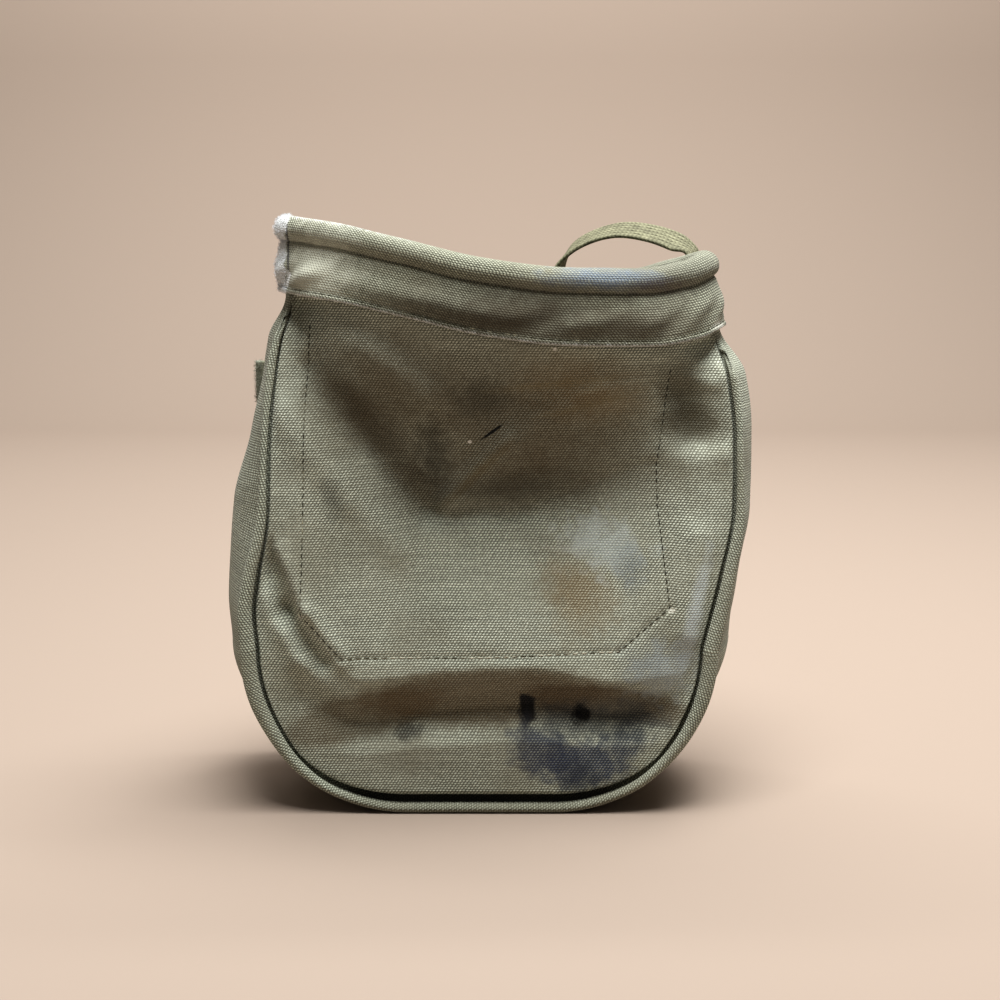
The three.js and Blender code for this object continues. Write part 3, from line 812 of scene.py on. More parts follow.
@dataclass(frozen=True)
class DuckFinish:
    """Cotton duck, dyed olive and washed out: a matt plain weave whose raised threads are paler.

    The eye sees a checkerboard of pale thread tops over darker gaps, blotchy fading and grime, and white
    cotton where the dye is rubbed through. Sizes are millimetres on the cloth.
    """

    name: str
    thread: str = "#cfd5c2"
    gap: str = "#3d3e31"
    worn: str = "#dfe3e7"
    # painted shade: the near-black that the grooves are darkened towards
    soil: str = "#15140f"
    weft_pitch: float = 1.44  # two threads across
    warp_pitch: float = 2.12  # two threads down
    wander: float = 0.28
    wander_runs: tuple[float, float] = (4.0, 2.86)
    slant: float = 0.5  # how far a thread top leans over its height
    row_weight: float = 1.1
    slub: float = 1.67
    slub_thickness: Ramp = Ramp(0.3, 0.7, 0.62, 1.38)
    tops: Ramp = Ramp(-0.4, 1.7)
    streak: float = 40.0
    blotch: float = 2.0
    brightness: Ramp = Ramp(0.6, 1.4, 0.77, 1.25)
    rub_blotch: float = 2.2
    rub_tops: float = 0.35  # how much sooner the thread tops wear than the gaps
    rub_weight: float = 1.4
    rub_share: Ramp = Ramp(1.15, 1.75, 0, 0.95)
    relief: float = 0.3
    mark_ragged: float = 5.0
    stain_middle: float = -30.0  # marks fade out behind this depth
    mark_depth: float = 1000.0
    stains_and_painted_light: tuple[StainAndPaintedLight, ...] = ()

    @cache
    def material(self) -> Material:
        """Build the cloth's material once.

        Returns:
            A material that reads the cloth UV map and the wear attribute.
        """
        matt = {"Roughness": 0.93, "Specular_IOR_Level": 0.2}
        material, tree, shader = shader_tree(self.name, **matt, Sheen_Weight=0.12, Sheen_Roughness=0.6)
        uv = add(tree, Kind.UV_MAP, uv_map=CLOTH_UV)
        spot = add(tree, Kind.COORDINATES).outputs["Object"]
        weave = self.weave(tree, uv)
        cloth = {0: weave, 6: linear(self.gap), 7: linear(self.thread)}
        colour = add(tree, Kind.MIX, cloth, data_type="RGBA")
        for patch in DUCK_PATCHES:
            noise = {"Vector": spot, "Scale": 1 / (patch.size * MM), "Detail": patch.detail}
            blot = add(tree, Kind.NOISE, noise)
            share = add(tree, Kind.RANGE, (blot, *patch.strength))
            colour = add(tree, Kind.MIX, {0: share, 6: colour, 7: linear(patch.colour)}, data_type="RGBA")
        colour = self.streaks(tree, uv, colour)
        colour = self.marks(tree, spot, weave, colour)
        colour = self.rub(tree, uv, weave, colour)
        bump = add(tree, Kind.BUMP, {"Height": weave, "Strength": 1.0, "Distance": self.relief * MM})
        tree.links.new(colour.outputs[2], shader.inputs["Base Color"])
        tree.links.new(bump.outputs[0], shader.inputs["Normal"])
        return material

    def weave(self, tree: Tree, uv: Node) -> Node:
        """Draw the plain weave: thread tops in a checkerboard over the weft's rows, wandering a little.

        Args:
            tree: the material's tree.
            uv: places on the cloth.

        Returns:
            A node that gives 0 in the gaps and 1 on the thread tops.
        """
        parts = add(tree, Kind.SEPARATE, (uv,))
        strayed = []
        for axis, run in enumerate(self.wander_runs):
            sway = add(tree, Kind.NOISE, {"Vector": uv, "Scale": 1 / run, "Detail": 1})
            stray = (sway, 2 * self.wander, parts.outputs[axis])
            strayed.append(add(tree, Kind.MATH, stray, operation="MULTIPLY_ADD"))
        row = add(tree, Kind.MATH, (strayed[1], 2 / self.warp_pitch), operation="MULTIPLY")
        up = add(tree, Kind.MATH, (row,), operation="FRACT")
        leant = add(tree, Kind.MATH, (up, -self.slant, strayed[0]), operation="MULTIPLY_ADD")
        waves = []
        for place_on, pitch in ((leant, self.weft_pitch), (strayed[1], self.warp_pitch)):
            turn = add(tree, Kind.MATH, (place_on, math.tau / pitch), operation="MULTIPLY")
            waves.append(add(tree, Kind.MATH, (turn,), operation="SINE"))
        tops = add(tree, Kind.MATH, waves, operation="MULTIPLY")
        rows = add(tree, Kind.MATH, (waves[1], waves[1]), operation="MULTIPLY")
        both = add(tree, Kind.MATH, (rows, self.row_weight, tops), operation="MULTIPLY_ADD")
        uneven = add(tree, Kind.NOISE, {"Vector": uv, "Scale": 1 / self.slub, "Detail": 3})
        thick = add(tree, Kind.RANGE, (uneven, *self.slub_thickness))
        height = add(tree, Kind.MATH, (both, thick), operation="MULTIPLY")
        return add(tree, Kind.RANGE, (height, *self.tops))

    def streaks(self, tree: Tree, uv: Node, colour: Node) -> Node:
        """Vary the colour from thread to thread along the weft, and blot it finely.

        Args:
            tree: the material's tree.
            uv: places on the cloth.
            colour: the colour so far.

        Returns:
            The node with the new colour.
        """
        stretched = add(tree, Kind.MAPPING, {0: uv, "Scale": (1 / self.streak, 2 / self.warp_pitch, 1)})
        threads = add(tree, Kind.NOISE, {"Vector": stretched, "Scale": 1.0, "Detail": 2})
        fine = add(tree, Kind.NOISE, {"Vector": uv, "Scale": 1 / self.blotch, "Detail": 3})
        both = add(tree, Kind.MATH, (threads, fine), operation="ADD")
        value = add(tree, Kind.RANGE, (both, *self.brightness))
        return add(tree, Kind.HUE, {"Value": value, "Color": colour})

    def marks(self, tree: Tree, spot: Socket, weave: Node, colour: Node) -> Node:
        """Lay the stains, painted shade and painted highlights over the colour, ragged at their edges.

        Args:
            tree: the material's tree.
            spot: places on the bag, in metres.
            weave: the weave.
            colour: the colour so far.

        Returns:
            The node with the new colour.
        """
        noise = add(tree, Kind.NOISE, {"Vector": spot, "Scale": 1 / (self.mark_ragged * MM), "Detail": 4})
        for mark in self.stains_and_painted_light:
            middle = (np.array([mark.x, self.stain_middle, mark.z]) - FOOT_MIDDLE) * MM
            sizes = (mark.half_width, self.mark_depth, mark.half_height)
            shape = tuple(1 / (size * MM) for size in sizes)
            turn = (0.0, math.radians(mark.turn), 0.0)
            centred = add(tree, Kind.VECTOR, (spot, tuple(middle)), operation="SUBTRACT")
            turned = add(tree, Kind.MAPPING, {0: centred, "Rotation": turn})
            scaled = add(tree, Kind.VECTOR, (turned, shape), operation="MULTIPLY")
            reach = add(tree, Kind.VECTOR, (scaled,), operation="LENGTH")
            edge = add(tree, Kind.MATH, (noise, mark.ragged, -mark.ragged / 2), operation="MULTIPLY_ADD")
            away = add(tree, Kind.MATH, (reach, edge), operation="ADD")
            strength = Ramp(1 + mark.fade, 1 - mark.fade, 0, mark.strength)
            share = add(tree, Kind.RANGE, (away, *strength))
            missed = add(tree, Kind.RANGE, (weave, *Ramp(0, 1, 1, 1 - mark.speckle)))
            laid = add(tree, Kind.MATH, (share, missed), operation="MULTIPLY")
            colour = add(tree, Kind.MIX, {0: laid, 6: colour, 7: linear(mark.colour)}, data_type="RGBA")
        return colour

    def rub(self, tree: Tree, uv: Node, weave: Node, colour: Node) -> Node:
        """Whiten the cloth where the dye is rubbed through, thread tops first, and blacken soiled grooves.

        Args:
            tree: the material's tree.
            uv: places on the cloth.
            weave: the weave.
            colour: the colour so far.

        Returns:
            The node with the new colour.
        """
        wear = add(tree, Kind.ATTRIBUTE, attribute_name=WEAR_AND_SHADE).outputs["Fac"]
        # painted shade: wear below 0 darkens the grooves towards the near-black
        soiled = add(tree, Kind.RANGE, (wear, *Ramp(0, -1)))
        colour = add(tree, Kind.MIX, {0: soiled, 6: colour, 7: linear(self.soil)}, data_type="RGBA")
        noise = add(tree, Kind.NOISE, {"Vector": uv, "Scale": 1 / self.rub_blotch, "Detail": 4})
        tops = add(tree, Kind.MATH, (weave, self.rub_tops, noise), operation="MULTIPLY_ADD")
        level = add(tree, Kind.MATH, (wear, self.rub_weight, tops), operation="MULTIPLY_ADD")
        share = add(tree, Kind.RANGE, (level, *self.rub_share))
        return add(tree, Kind.MIX, {0: share, 6: colour, 7: linear(self.worn)}, data_type="RGBA")


@dataclass(frozen=True)
class WebbingFinish:
    """Woven cotton tape: lengthwise ribs, a yellower olive than the duck, darker between the ribs.

    The eye sees slanted picks along each rib, and strands that stand out unevenly. Sizes are millimetres.
    """

    name: str = "cotton_webbing"
    ridge: str = "#8d8c73"
    valley: str = "#434230"
    rubbed: str = "#8f9385"
    rib: float = 3.2
    pick: float = 1.9
    pick_slant: float = 0.45
    strand: tuple[float, float] = (3.7, 0.8)
    weights: tuple[float, float, float] = (0.4, 0.35, 3.0)  # of the ribs, the picks and the strands
    ridges: Ramp = Ramp(0.5, 2.5)
    patch: float = 6.0
    brightness: Ramp = Ramp(0.3, 0.7, 0.75, 1.25)
    relief: float = 0.35

    @cache
    def material(self) -> Material:
        """Build the material once.

        Returns:
            The webbing's material, ribbed along its cloth UV map.
        """
        material, tree, shader = shader_tree(self.name, Roughness=0.85, Specular_IOR_Level=0.25)
        uv = add(tree, Kind.UV_MAP, uv_map=CLOTH_UV)
        parts = add(tree, Kind.SEPARATE, (uv,))
        rib = add(tree, Kind.MATH, (parts.outputs[1], math.tau / self.rib), operation="MULTIPLY")
        across = add(tree, Kind.MATH, (rib,), operation="SINE")
        slant = add(tree, Kind.MATH, (across, self.pick_slant, parts.outputs[0]), operation="MULTIPLY_ADD")
        pick = add(tree, Kind.MATH, (slant, math.tau / self.pick), operation="MULTIPLY")
        along = add(tree, Kind.MATH, (pick,), operation="SINE")
        drawn = add(tree, Kind.MAPPING, {0: uv, "Scale": (1 / self.strand[0], 1 / self.strand[1], 1)})
        strands = add(tree, Kind.NOISE, {"Vector": drawn, "Scale": 1.0, "Detail": 4})
        height = 0.0
        for wave, weight in zip((across, along, strands), self.weights):
            height = add(tree, Kind.MATH, (wave, weight, height), operation="MULTIPLY_ADD")
        ribs = add(tree, Kind.RANGE, (height, *self.ridges))
        tape = {0: ribs, 6: linear(self.valley), 7: linear(self.ridge)}
        colour = add(tree, Kind.MIX, tape, data_type="RGBA")
        spot = add(tree, Kind.COORDINATES).outputs["Object"]
        noise = add(tree, Kind.NOISE, {"Vector": spot, "Scale": 1 / (self.patch * MM), "Detail": 4})
        value = add(tree, Kind.RANGE, (noise, *self.brightness))
        colour = add(tree, Kind.HUE, {"Value": value, "Color": colour})
        wear = add(tree, Kind.ATTRIBUTE, attribute_name=WEAR_AND_SHADE).outputs["Fac"]
        colour = add(tree, Kind.MIX, {0: wear, 6: colour, 7: linear(self.rubbed)}, data_type="RGBA")
        bump = add(tree, Kind.BUMP, {"Height": ribs, "Strength": 0.9, "Distance": self.relief * MM})
        tree.links.new(colour.outputs[2], shader.inputs["Base Color"])
        tree.links.new(bump.outputs[0], shader.inputs["Normal"])
        return material


@dataclass(frozen=True)
class ThreadFinish:
    """Twisted cotton sewing thread: olive gone dark with dirt in places and bare cotton in others."""

    name: str
    dark: str
    pale: str
    patch: float = 14.0
    pale_from: float = 0.58
    pale_blend: float = 0.05

    @cache
    def material(self) -> Material:
        """Build the material once.

        Returns:
            The thread's material, dark or pale from stitch to stitch.
        """
        material, tree, shader = shader_tree(self.name, Roughness=0.8)
        spot = add(tree, Kind.COORDINATES).outputs["Object"]
        noise = add(tree, Kind.NOISE, {"Vector": spot, "Scale": 1 / (self.patch * MM), "Detail": 2})
        pale = Ramp(self.pale_from - self.pale_blend, self.pale_from + self.pale_blend)
        share = add(tree, Kind.RANGE, (noise, *pale))
        thread = {0: share, 6: linear(self.dark), 7: linear(self.pale)}
        colour = add(tree, Kind.MIX, thread, data_type="RGBA")
        tree.links.new(colour.outputs[2], shader.inputs["Base Color"])
        return material


@dataclass(frozen=True)
class PaperFinish:
    """Matt pale paper for the floor and the sweep behind it: no gloss, no pattern."""

    name: str = "matt_paper"
    colour: str = "#a09286"

    def material(self) -> Material:
        """Build the paper's material.

        Returns:
            The paper's material, one colour all over.
        """
        material, _, shader = shader_tree(self.name, Roughness=1.0, Specular_IOR_Level=0.0)
        shader.inputs["Base Color"].default_value = linear(self.colour)
        return material


DUCK = DuckFinish("cotton_duck")
# the front's material carries its stains with its painted shade and highlights
STAINED_AND_PAINTED_LIGHT_DUCK = replace(
    DUCK, name="cotton_duck_stained", thread="#e3e9d7", gap="#45473a", stains_and_painted_light=FRONT_STAINS_AND_PAINTED_LIGHT
)
BASE_SHADED_DUCK = replace(DUCK, name="cotton_duck_soiled", stains_and_painted_light=BASE_PAINTED_SHADE)
RUBBED_AND_PAINTED_LIGHT_DUCK = DuckFinish(
    "cotton_duck_rubbed", "#c1c4ae", "#33342a", "#dfe2e0", mark_depth=45.0, stains_and_painted_light=RIM_STAINS_AND_PAINTED_SHADE
)
WEBBING = WebbingFinish()
SEAM_THREAD = ThreadFinish("dirty_cotton_thread", "#39372a", "#b0ae98", pale_from=0.62)
LOW_THREAD = ThreadFinish("rubbed_cotton_thread", "#4b4937", "#c9c6b4", pale_from=0.5)
BAND_THREAD = ThreadFinish("bare_cotton_thread", "#45432f", "#b9b69d", pale_from=0.56)
FIBRE = ThreadFinish("frayed_cotton", "#dfe2e5", "#f2f4f6")
WEB_FIBRE = ThreadFinish("frayed_webbing", "#75786a", "#9ea091")


# The bag's forms
@dataclass(frozen=True)
class Mouth:
    """The mouth in plan: an oval, deeper in front, pinched at the left corner, widening downwards.

    Angles run from 0 at the right corner, with the back at a quarter turn.
    """

    x: float = -1.75
    half: float = 90.75
    front: float = 37.6
    back: float = 34.0
    pinch: float = 0.25
    pinch_power: int = 6
    spread: float = 0.09
    drift: float = 0.09
    swell: float = 0.075
    seam_cosine: float = 0.96
    seam_trim: float = 0.01

    def normal(self, angle: Array) -> Array:
        """Find which way the wall of the mouth faces.

        Args:
            angle: place round the mouth.

        Returns:
            Level directions out.
        """
        reach = np.where(np.sin(angle) < 0, self.front, self.back)
        flat = np.zeros_like(np.asarray(angle, float))
        return unit(np.stack([reach * np.cos(angle), self.half * np.sin(angle), flat], axis=-1))

    def wall(self, angle: Array, down: Array, out: Array = 0.0) -> Array:
        """Find places on the wall of the mouth.

        Args:
            angle: place round the mouth.
            down: distance below the top of the roll.
            out: distance out from the cloth's outer face.

        Returns:
            Places in drawing millimetres.
        """
        angle, down, out = np.broadcast_arrays(np.asarray(angle, float), down, out)
        c, s = np.cos(angle), np.sin(angle)
        pinch = 1 - self.pinch * np.maximum(0, -c) ** self.pinch_power
        reach = (np.where(s < 0, self.front, self.back) + self.swell * down) * pinch
        across = self.x + self.half * c
        top = np.where(s < 0, column(RIM_TOP, "x", "front", across), column(RIM_TOP, "x", "back", across))
        x = self.x + self.drift * down + (self.half + self.spread * down) * c
        return np.stack([x, reach * s, top - down], axis=-1) + self.normal(angle) * out[..., None]

    def seam_angle(self, side: Array, face: Face, trim: float = 0.0) -> Array:
        """Angles where the side seams meet the mouth."""
        turn = face.value * (math.acos(self.seam_cosine) + trim)
        return np.where(np.asarray(side) < 0, math.pi - turn, turn)

    def band_edge(self, x: Array, face: Face) -> Array:
        """Places on the cloth at the lower edge of the facing, by x."""
        c = (x - self.x - self.drift * BAND_END) / (self.half + self.spread * BAND_END)
        return self.wall(face.value * np.arccos(np.clip(c, -1, 1)), BAND_END)


@dataclass(frozen=True)
class Stations:
    """Places along the gusset's outline in front view, as arrays of one length."""

    x: Array
    z: Array
    out_x: Array
    out_z: Array
    side: Array
    down: Array
    front: Array
    back: Array
    bulge: Array
    lip: Array

    def pick(self, order: slice | Array) -> Stations:
        """The same stations in another order or number."""
        return Stations(*(values[order] for values in astuple(self)))

    def join(self, *others: Stations) -> Stations:
        """These stations and then the others."""
        return Stations(*(np.concatenate(values) for values in zip(astuple(self), *map(astuple, others))))

    def lower(self, downs: Array) -> Stations:
        """The first station repeated at other distances below the roll."""
        return replace(self.pick(np.zeros(len(downs), int)), down=downs)

    def point(self, inward: Array, y: Array) -> Array:
        """Find places in the stations' sections.

        Args:
            inward: distance in from the outline, a row for each station.
            y: depth.

        Returns:
            Places in drawing millimetres.
        """
        inward, y = np.broadcast_arrays(inward, y)
        flat = (slice(None),) + (None,) * (y.ndim - 1)
        x = self.x[flat] - self.out_x[flat] * inward
        return np.stack([x, y, self.z[flat] - self.out_z[flat] * inward], axis=-1)


@dataclass(frozen=True)
class Outline:
    """The U of the bag in front view, with flat stretch, lower corners and sides."""

    mouth: Mouth
    radius: float = 70.0
    left: float = -39.8
    right: float = 22.5
    lip_front: float = -42.0
    lip_back: float = 43.0
    settled: float = 30.0

    @property
    def eighth(self) -> float:
        """Length of half of one lower corner."""
        return self.radius * math.pi / 4

    def side_x(self, side: Side, z: Array) -> Array:
        """Find the crease of a side.

        Args:
            side: left or right.
            z: heights.

        Returns:
            Places across.
        """
        upright = column(BODY, "z", side.name.lower(), z)
        reach = np.sqrt(np.maximum(self.radius**2 - (self.radius - z) ** 2, 0))
        middle = self.left if side is Side.LEFT else self.right
        return np.where(z >= self.radius, upright, middle + side.value * reach)

    def stations(self, x: Array, z: Array, run_x: Array, run_z: Array, down: Array) -> Stations:
        """Work out what the gusset needs at places on the outline.

        Args:
            x: places across.
            z: heights.
            run_x: direction of travel across.
            run_z: direction of travel up.
            down: distance below the roll at the side seam.

        Returns:
            The stations.
        """
        length = np.hypot(run_x, run_z)
        out_x, out_z = run_z / length, -run_x / length
        side = np.where(x < 0, -1, 1)
        level = np.maximum(z, self.radius)
        low = z < self.radius
        settle_share = np.where(low, smoothstep(z, self.settled, self.radius), 1.0)
        left, right = column(BODY, "z", "bulge_left", level), column(BODY, "z", "bulge_right", level)
        bulge = np.where(side < 0, left, right) * np.where(low, out_x**2 * settle_share, 1.0)
        front = mix(self.lip_front, column(BODY, "z", "front", level), settle_share)
        back = mix(self.lip_back, column(BODY, "z", "back", level), settle_share)
        lip = column(BODY, "z", "lip", level)
        return Stations(x, z, out_x, out_z, side, down, front, back, bulge, lip)

    def seam_top(self, side: Side) -> float:
        """Height of the roll's top over a front side seam."""
        return float(self.mouth.wall(self.mouth.seam_angle(side.value, Face.FRONT), 0.0)[2])

    def sides(self, side: Side, shares: Array) -> Stations:
        """Find stations of one side.

        Args:
            side: left or right.
            shares: shares of the way from under the facing to the middle of the lower corner.

        Returns:
            The stations, downwards.
        """
        top = self.seam_top(side) - BAND_END
        run = shares * (top - self.radius + self.eighth)
        turn = np.maximum(0, run - (top - self.radius)) / self.radius
        z = np.where(turn > 0, self.radius * (1 - np.sin(turn)), top - run)
        away = side.value * (self.side_x(side, z + 1) - self.side_x(side, z - 1))
        run_x = np.where(turn > 0, np.sin(turn), away)
        run_z = np.where(turn > 0, side.value * np.cos(turn), 2.0 * side.value)
        return self.stations(self.side_x(side, z), z, run_x, run_z, self.seam_top(side) - z)

    def bottom(self, shares: Array) -> Stations:
        """Find stations of the bottom.

        Args:
            shares: shares of the way between the middles of the two lower corners.

        Returns:
            The stations, left to right.
        """
        flat = self.right - self.left
        run = shares * (flat + 2 * self.eighth) - self.eighth
        turn = np.where(run < 0, run, np.maximum(0, run - flat)) / self.radius
        x = self.left + np.clip(run, 0, flat) + self.radius * np.sin(turn)
        z = self.radius * (1 - np.cos(turn))
        return self.stations(x, z, np.cos(turn), np.sin(turn), np.full_like(x, np.inf))

    def hem_height(self, x: Array) -> Array:
        """Find the height of the panels' lower edge.

        Args:
            x: places across.

        Returns:
            Heights.
        """
        radius = self.radius - LIP_GROOVE * LOW_GROOVE
        reach = np.minimum(np.abs(x - np.clip(x, self.left, self.right)), radius)
        return self.radius - np.sqrt(radius**2 - reach**2)


def body_share(down: Array) -> Array:
    """How far the cloth has left the mouth's oval, by distance below the roll."""
    return smoothstep(np.minimum(down, 2 * BODY_START), BAND_END, BODY_START)


def lip_raised(z: Array) -> Array:
    """How far the lip has grown from its slim section along the bottom, by height."""
    return smoothstep(z, *LIP_GROWS)


@dataclass(frozen=True)
class Panel:
    """A U-shaped panel between the two side seams, with its top under the facing."""

    outline: Outline
    face: Face
    name: str
    node: str
    finish: DuckFinish
    flat: tuple[float, float]
    flat_area: float
    rows: int = 190
    columns: int = 210
    band_rows: int = 8
    crowding: float = 0.6  # how much closer the columns stand at the seams
    edge_share: float = 0.17
    relief_margin: float = 7.0
    relief_start: float = 0.1
    tuck_side: float = 3.0  # how far the edge sinks beside the lip, up the sides and along the bottom
    tuck_low: float = 8.0
    tuck_side_reach: float = 1.1
    tuck_low_reach: float = 2.6
    tuck_low_top: float = 18.0
    # painted shade along the sunk edge beside the lip: its strength and its reach
    soiled: float = 0.9
    shade_reach: float = 1.8

    def depth(self, x: Array, z: Array) -> Array:
        """Depth of the free cloth by place in front view."""
        raise NotImplementedError

    def relief(self, x: Array, z: Array) -> Array:
        """Small folds added over the whole panel."""
        raise NotImplementedError

    def border(self, at: Stations) -> Array:
        """Find the panel's edge beside the gusset.

        Args:
            at: stations along the edge.

        Returns:
            Places, a row for each station.
        """
        edge = at.front if self.face is Face.FRONT else at.back
        slim = mix(LOW_GROOVE, 1.0, lip_raised(at.z))
        body = at.point(LIP_GROOVE * slim * at.lip + GAP, edge - self.face.value * PANEL_SET * at.lip)
        mouth = self.outline.mouth
        angle = mouth.seam_angle(at.side, self.face, mouth.seam_trim)
        on_mouth = mouth.wall(angle, np.minimum(at.down, BODY_START))
        return mix(on_mouth, body, body_share(at.down)[:, None])

    def grid(self) -> Array:
        """Work out the panel's outer skin.

        Returns:
            A grid of places, rows from the top and columns from the left as the front is seen.
        """
        mouth = self.outline.mouth
        even = np.linspace(0, 1, self.columns + 1)
        across = even - self.crowding * np.sin(math.tau * even) / math.tau
        along = np.linspace(0, 1, self.rows + 1)
        left = self.border(self.outline.sides(Side.LEFT, along))
        right = self.border(self.outline.sides(Side.RIGHT, along))
        low = self.border(self.outline.bottom(across))
        start, stop = (float(mouth.seam_angle(side.value, self.face, mouth.seam_trim)) for side in Side)
        stop += math.tau if self.face is Face.FRONT else 0.0
        downs = np.linspace(PANEL_TOP, BAND_END, self.band_rows + 1)
        band = mouth.wall(mix(start, stop, across)[None, :], downs[:, None])
        top = band[-1]
        u, v = across[None, :, None], along[:, None, None]
        patch = (1 - v) * top[None] + v * low[None] + (1 - u) * left[:, None] + u * right[:, None]
        patch -= (1 - u) * (1 - v) * top[0] + u * (1 - v) * top[-1] + (1 - u) * v * low[0] + u * v * low[-1]
        seam = np.where(u[..., 0] < 0.5, left[:, None, 1], right[:, None, 1])
        near = np.minimum(u, 1 - u)[..., 0]
        free = self.depth(patch[..., 0], patch[..., 2])
        patch[..., 1] = mix(seam, free, smoothstep(near, 0, self.edge_share))
        patch[0], patch[-1] = top, low
        width = np.linalg.norm(right - left, axis=1)[:, None]
        height = np.linalg.norm(low - top, axis=1)[None, :]
        away = np.minimum(near * width, (1 - v[..., 0]) * height)
        leave = smoothstep(v[..., 0], 0.0, self.relief_start)
        small = self.relief(patch[..., 0], patch[..., 2])
        patch[..., 1] += small * smoothstep(away, 0, self.relief_margin) * leave
        lowness = 1 - smoothstep(patch[..., 2], 0, self.tuck_low_top)
        reach = mix(self.tuck_side_reach, self.tuck_low_reach, lowness)
        sink = mix(self.tuck_side, self.tuck_low, lowness) * bump_of(away, reach)
        patch[..., 1] -= self.face.value * sink * leave
        return np.concatenate([band[:-1], patch])

    def soil(self, grid: Array) -> Array:
        """Paint shade on the cloth where its edge sinks beside the lip.

        Args:
            grid: the panel's places.

        Returns:
            Painted shade at each place, as wear of 0 or less.
        """
        run = np.cumsum(np.linalg.norm(np.diff(grid, axis=1), axis=2), axis=1)
        fall = np.cumsum(np.linalg.norm(np.diff(grid[::-1], axis=0), axis=2), axis=0)
        left = np.pad(run, ((0, 0), (1, 0)))
        low = np.pad(fall, ((1, 0), (0, 0)))[::-1]
        away = np.minimum(np.minimum(left, left[:, -1:] - left), low)
        return -self.soiled * shade_left(grid[..., 2]) * bump_of(away, self.shade_reach)

    def build(self) -> Object:
        """Make the panel with its wall, and dress it.

        Returns:
            The finished panel.
        """
        grid = self.grid()[:, :: -self.face.value]
        piece = thicken(grid_object(self.name, grid, self.soil(grid), upright=True), WALL)
        place(cover(piece, self.finish.material()), Slot.CANVAS, self.node)
        return piece


@dataclass(frozen=True)
class FrontPanel(Panel):
    """The front: a slanted dent, a ridge along the pocket's lower seam and a hollow under it."""

    face: Face = Face.FRONT
    name: str = "front_panel_cloth"
    node: str = "front_panel"
    finish: DuckFinish = STAINED_AND_PAINTED_LIGHT_DUCK
    flat: tuple[float, float] = (0.236, 0.236)
    flat_area: float = 0.0436
    belly_step: float = 5.0
    hollow_step: float = 8.0
    ridge_step: float = 12.0
    dent_step: float = 20.0
    edge_step: float = 16.0
    crispness: float = 0.7  # share of a sharp fold in each fold line
    ripple: float = 0.35
    ripple_size: float = 17.0
    fine_ripple: float = 0.4  # share of the ripple, in ripples of a third of its size
    pucker: float = 0.55
    pucker_reach: float = 1.5

    def depth(self, x: Array, z: Array) -> Array:
        """Find the depth of the front from its fold lines.

        Args:
            x: places across.
            z: heights.

        Returns:
            Depths.
        """
        edge = self.outline.mouth.band_edge(x, self.face)
        line = {name: column(FRONT_ROWS, "x", name, x) for name in FrontRow._fields if name != "x"}
        hem = self.outline.hem_height(x)
        belly = np.maximum(line["belly_z"], hem + self.belly_step)
        hollow = np.maximum(line["hollow_z"], belly + self.hollow_step)
        ridge = np.maximum(line["ridge_z"], hollow + self.ridge_step)
        dent = np.maximum(line["dent_z"], ridge + self.dent_step)
        heights = [hem, belly, hollow, ridge, dent, np.maximum(edge[..., 2], dent + self.edge_step)]
        hem_depth = self.outline.lip_front + PANEL_SET
        lines = [line[name] for name in ("belly_y", "hollow_y", "ridge_y", "dent_y")]
        depths = [hem_depth, *lines, edge[..., 1]]
        return mix(through(heights, depths, z), straight(heights, depths, z), self.crispness)

    def relief(self, x: Array, z: Array) -> Array:
        """Work out the small folds of the front, its ripples and the pocket seam's pucker.

        Args:
            x: places across.
            z: heights.

        Returns:
            Rises, negative towards the viewer.
        """
        u = x + RIPPLE_SHIFT
        y = self.ripple * ripples(u, z, self.ripple_size, Seed.FRONT)
        y = y + self.fine_ripple * self.ripple * ripples(u, z, self.ripple_size / 3, Seed.FRONT_FINE)
        for fold in FRONT_FOLDS:
            y = y + fold.rise * bump_of(self.away_from(x, z, fold[1:3], fold[3:5]), fold.width)
        for a, b in zip(POCKET_SEAM, POCKET_SEAM[1:]):
            y = y + self.pucker * bump_of(self.away_from(x, z, a, b), self.pucker_reach)
        return y

    @staticmethod
    def away_from(x: Array, z: Array, start: Sequence[float], end: Sequence[float]) -> Array:
        """Find how far places are from a straight line in front view.

        Args:
            x: places across.
            z: heights.
            start: one end of the line, as x and z.
            end: the other end.

        Returns:
            Distances.
        """
        run_x, run_z = end[0] - start[0], end[1] - start[1]
        along = (x - start[0]) * run_x + (z - start[1]) * run_z
        share = np.clip(along / (run_x**2 + run_z**2), 0, 1)
        return np.hypot(x - start[0] - share * run_x, z - start[1] - share * run_z)


@dataclass(frozen=True)
class BackPanel(Panel):
    """The back: crowned between its side seams, running into the mouth's oval under the facing."""

    face: Face = Face.BACK
    name: str = "back_panel_cloth"
    node: str = "back_panel"
    finish: DuckFinish = DUCK
    flat: tuple[float, float] = (0.236, 0.236)
    flat_area: float = 0.0405
    rows: int = 150
    columns: int = 130
    settle_height: float = 24.0
    ripple: float = 0.7
    ripple_size: float = 26.0

    def depth(self, x: Array, z: Array) -> Array:
        """Find the depth of the back.

        Args:
            x: places across.
            z: heights.

        Returns:
            Depths.
        """
        edge = self.outline.mouth.band_edge(x, self.face)
        body = {name: column(BODY, "z", name, z) for name in ("left", "right", "back", "lip")}
        across = (2 * x - body["left"] - body["right"]) / (body["right"] - body["left"])
        seam = body["back"] - PANEL_SET * body["lip"]
        crowned = mix(column(BACK_MIDDLE, "z", "y", z), seam, np.minimum(across**2, 1))
        return mix(edge[..., 1], crowned, smoothstep(edge[..., 2] - z, 0, self.settle_height))

    def relief(self, x: Array, z: Array) -> Array:
        """Ripples of the back, all inwards."""
        return -self.ripple * (1 + ripples(x + RIPPLE_SHIFT, z, self.ripple_size, Seed.BACK))


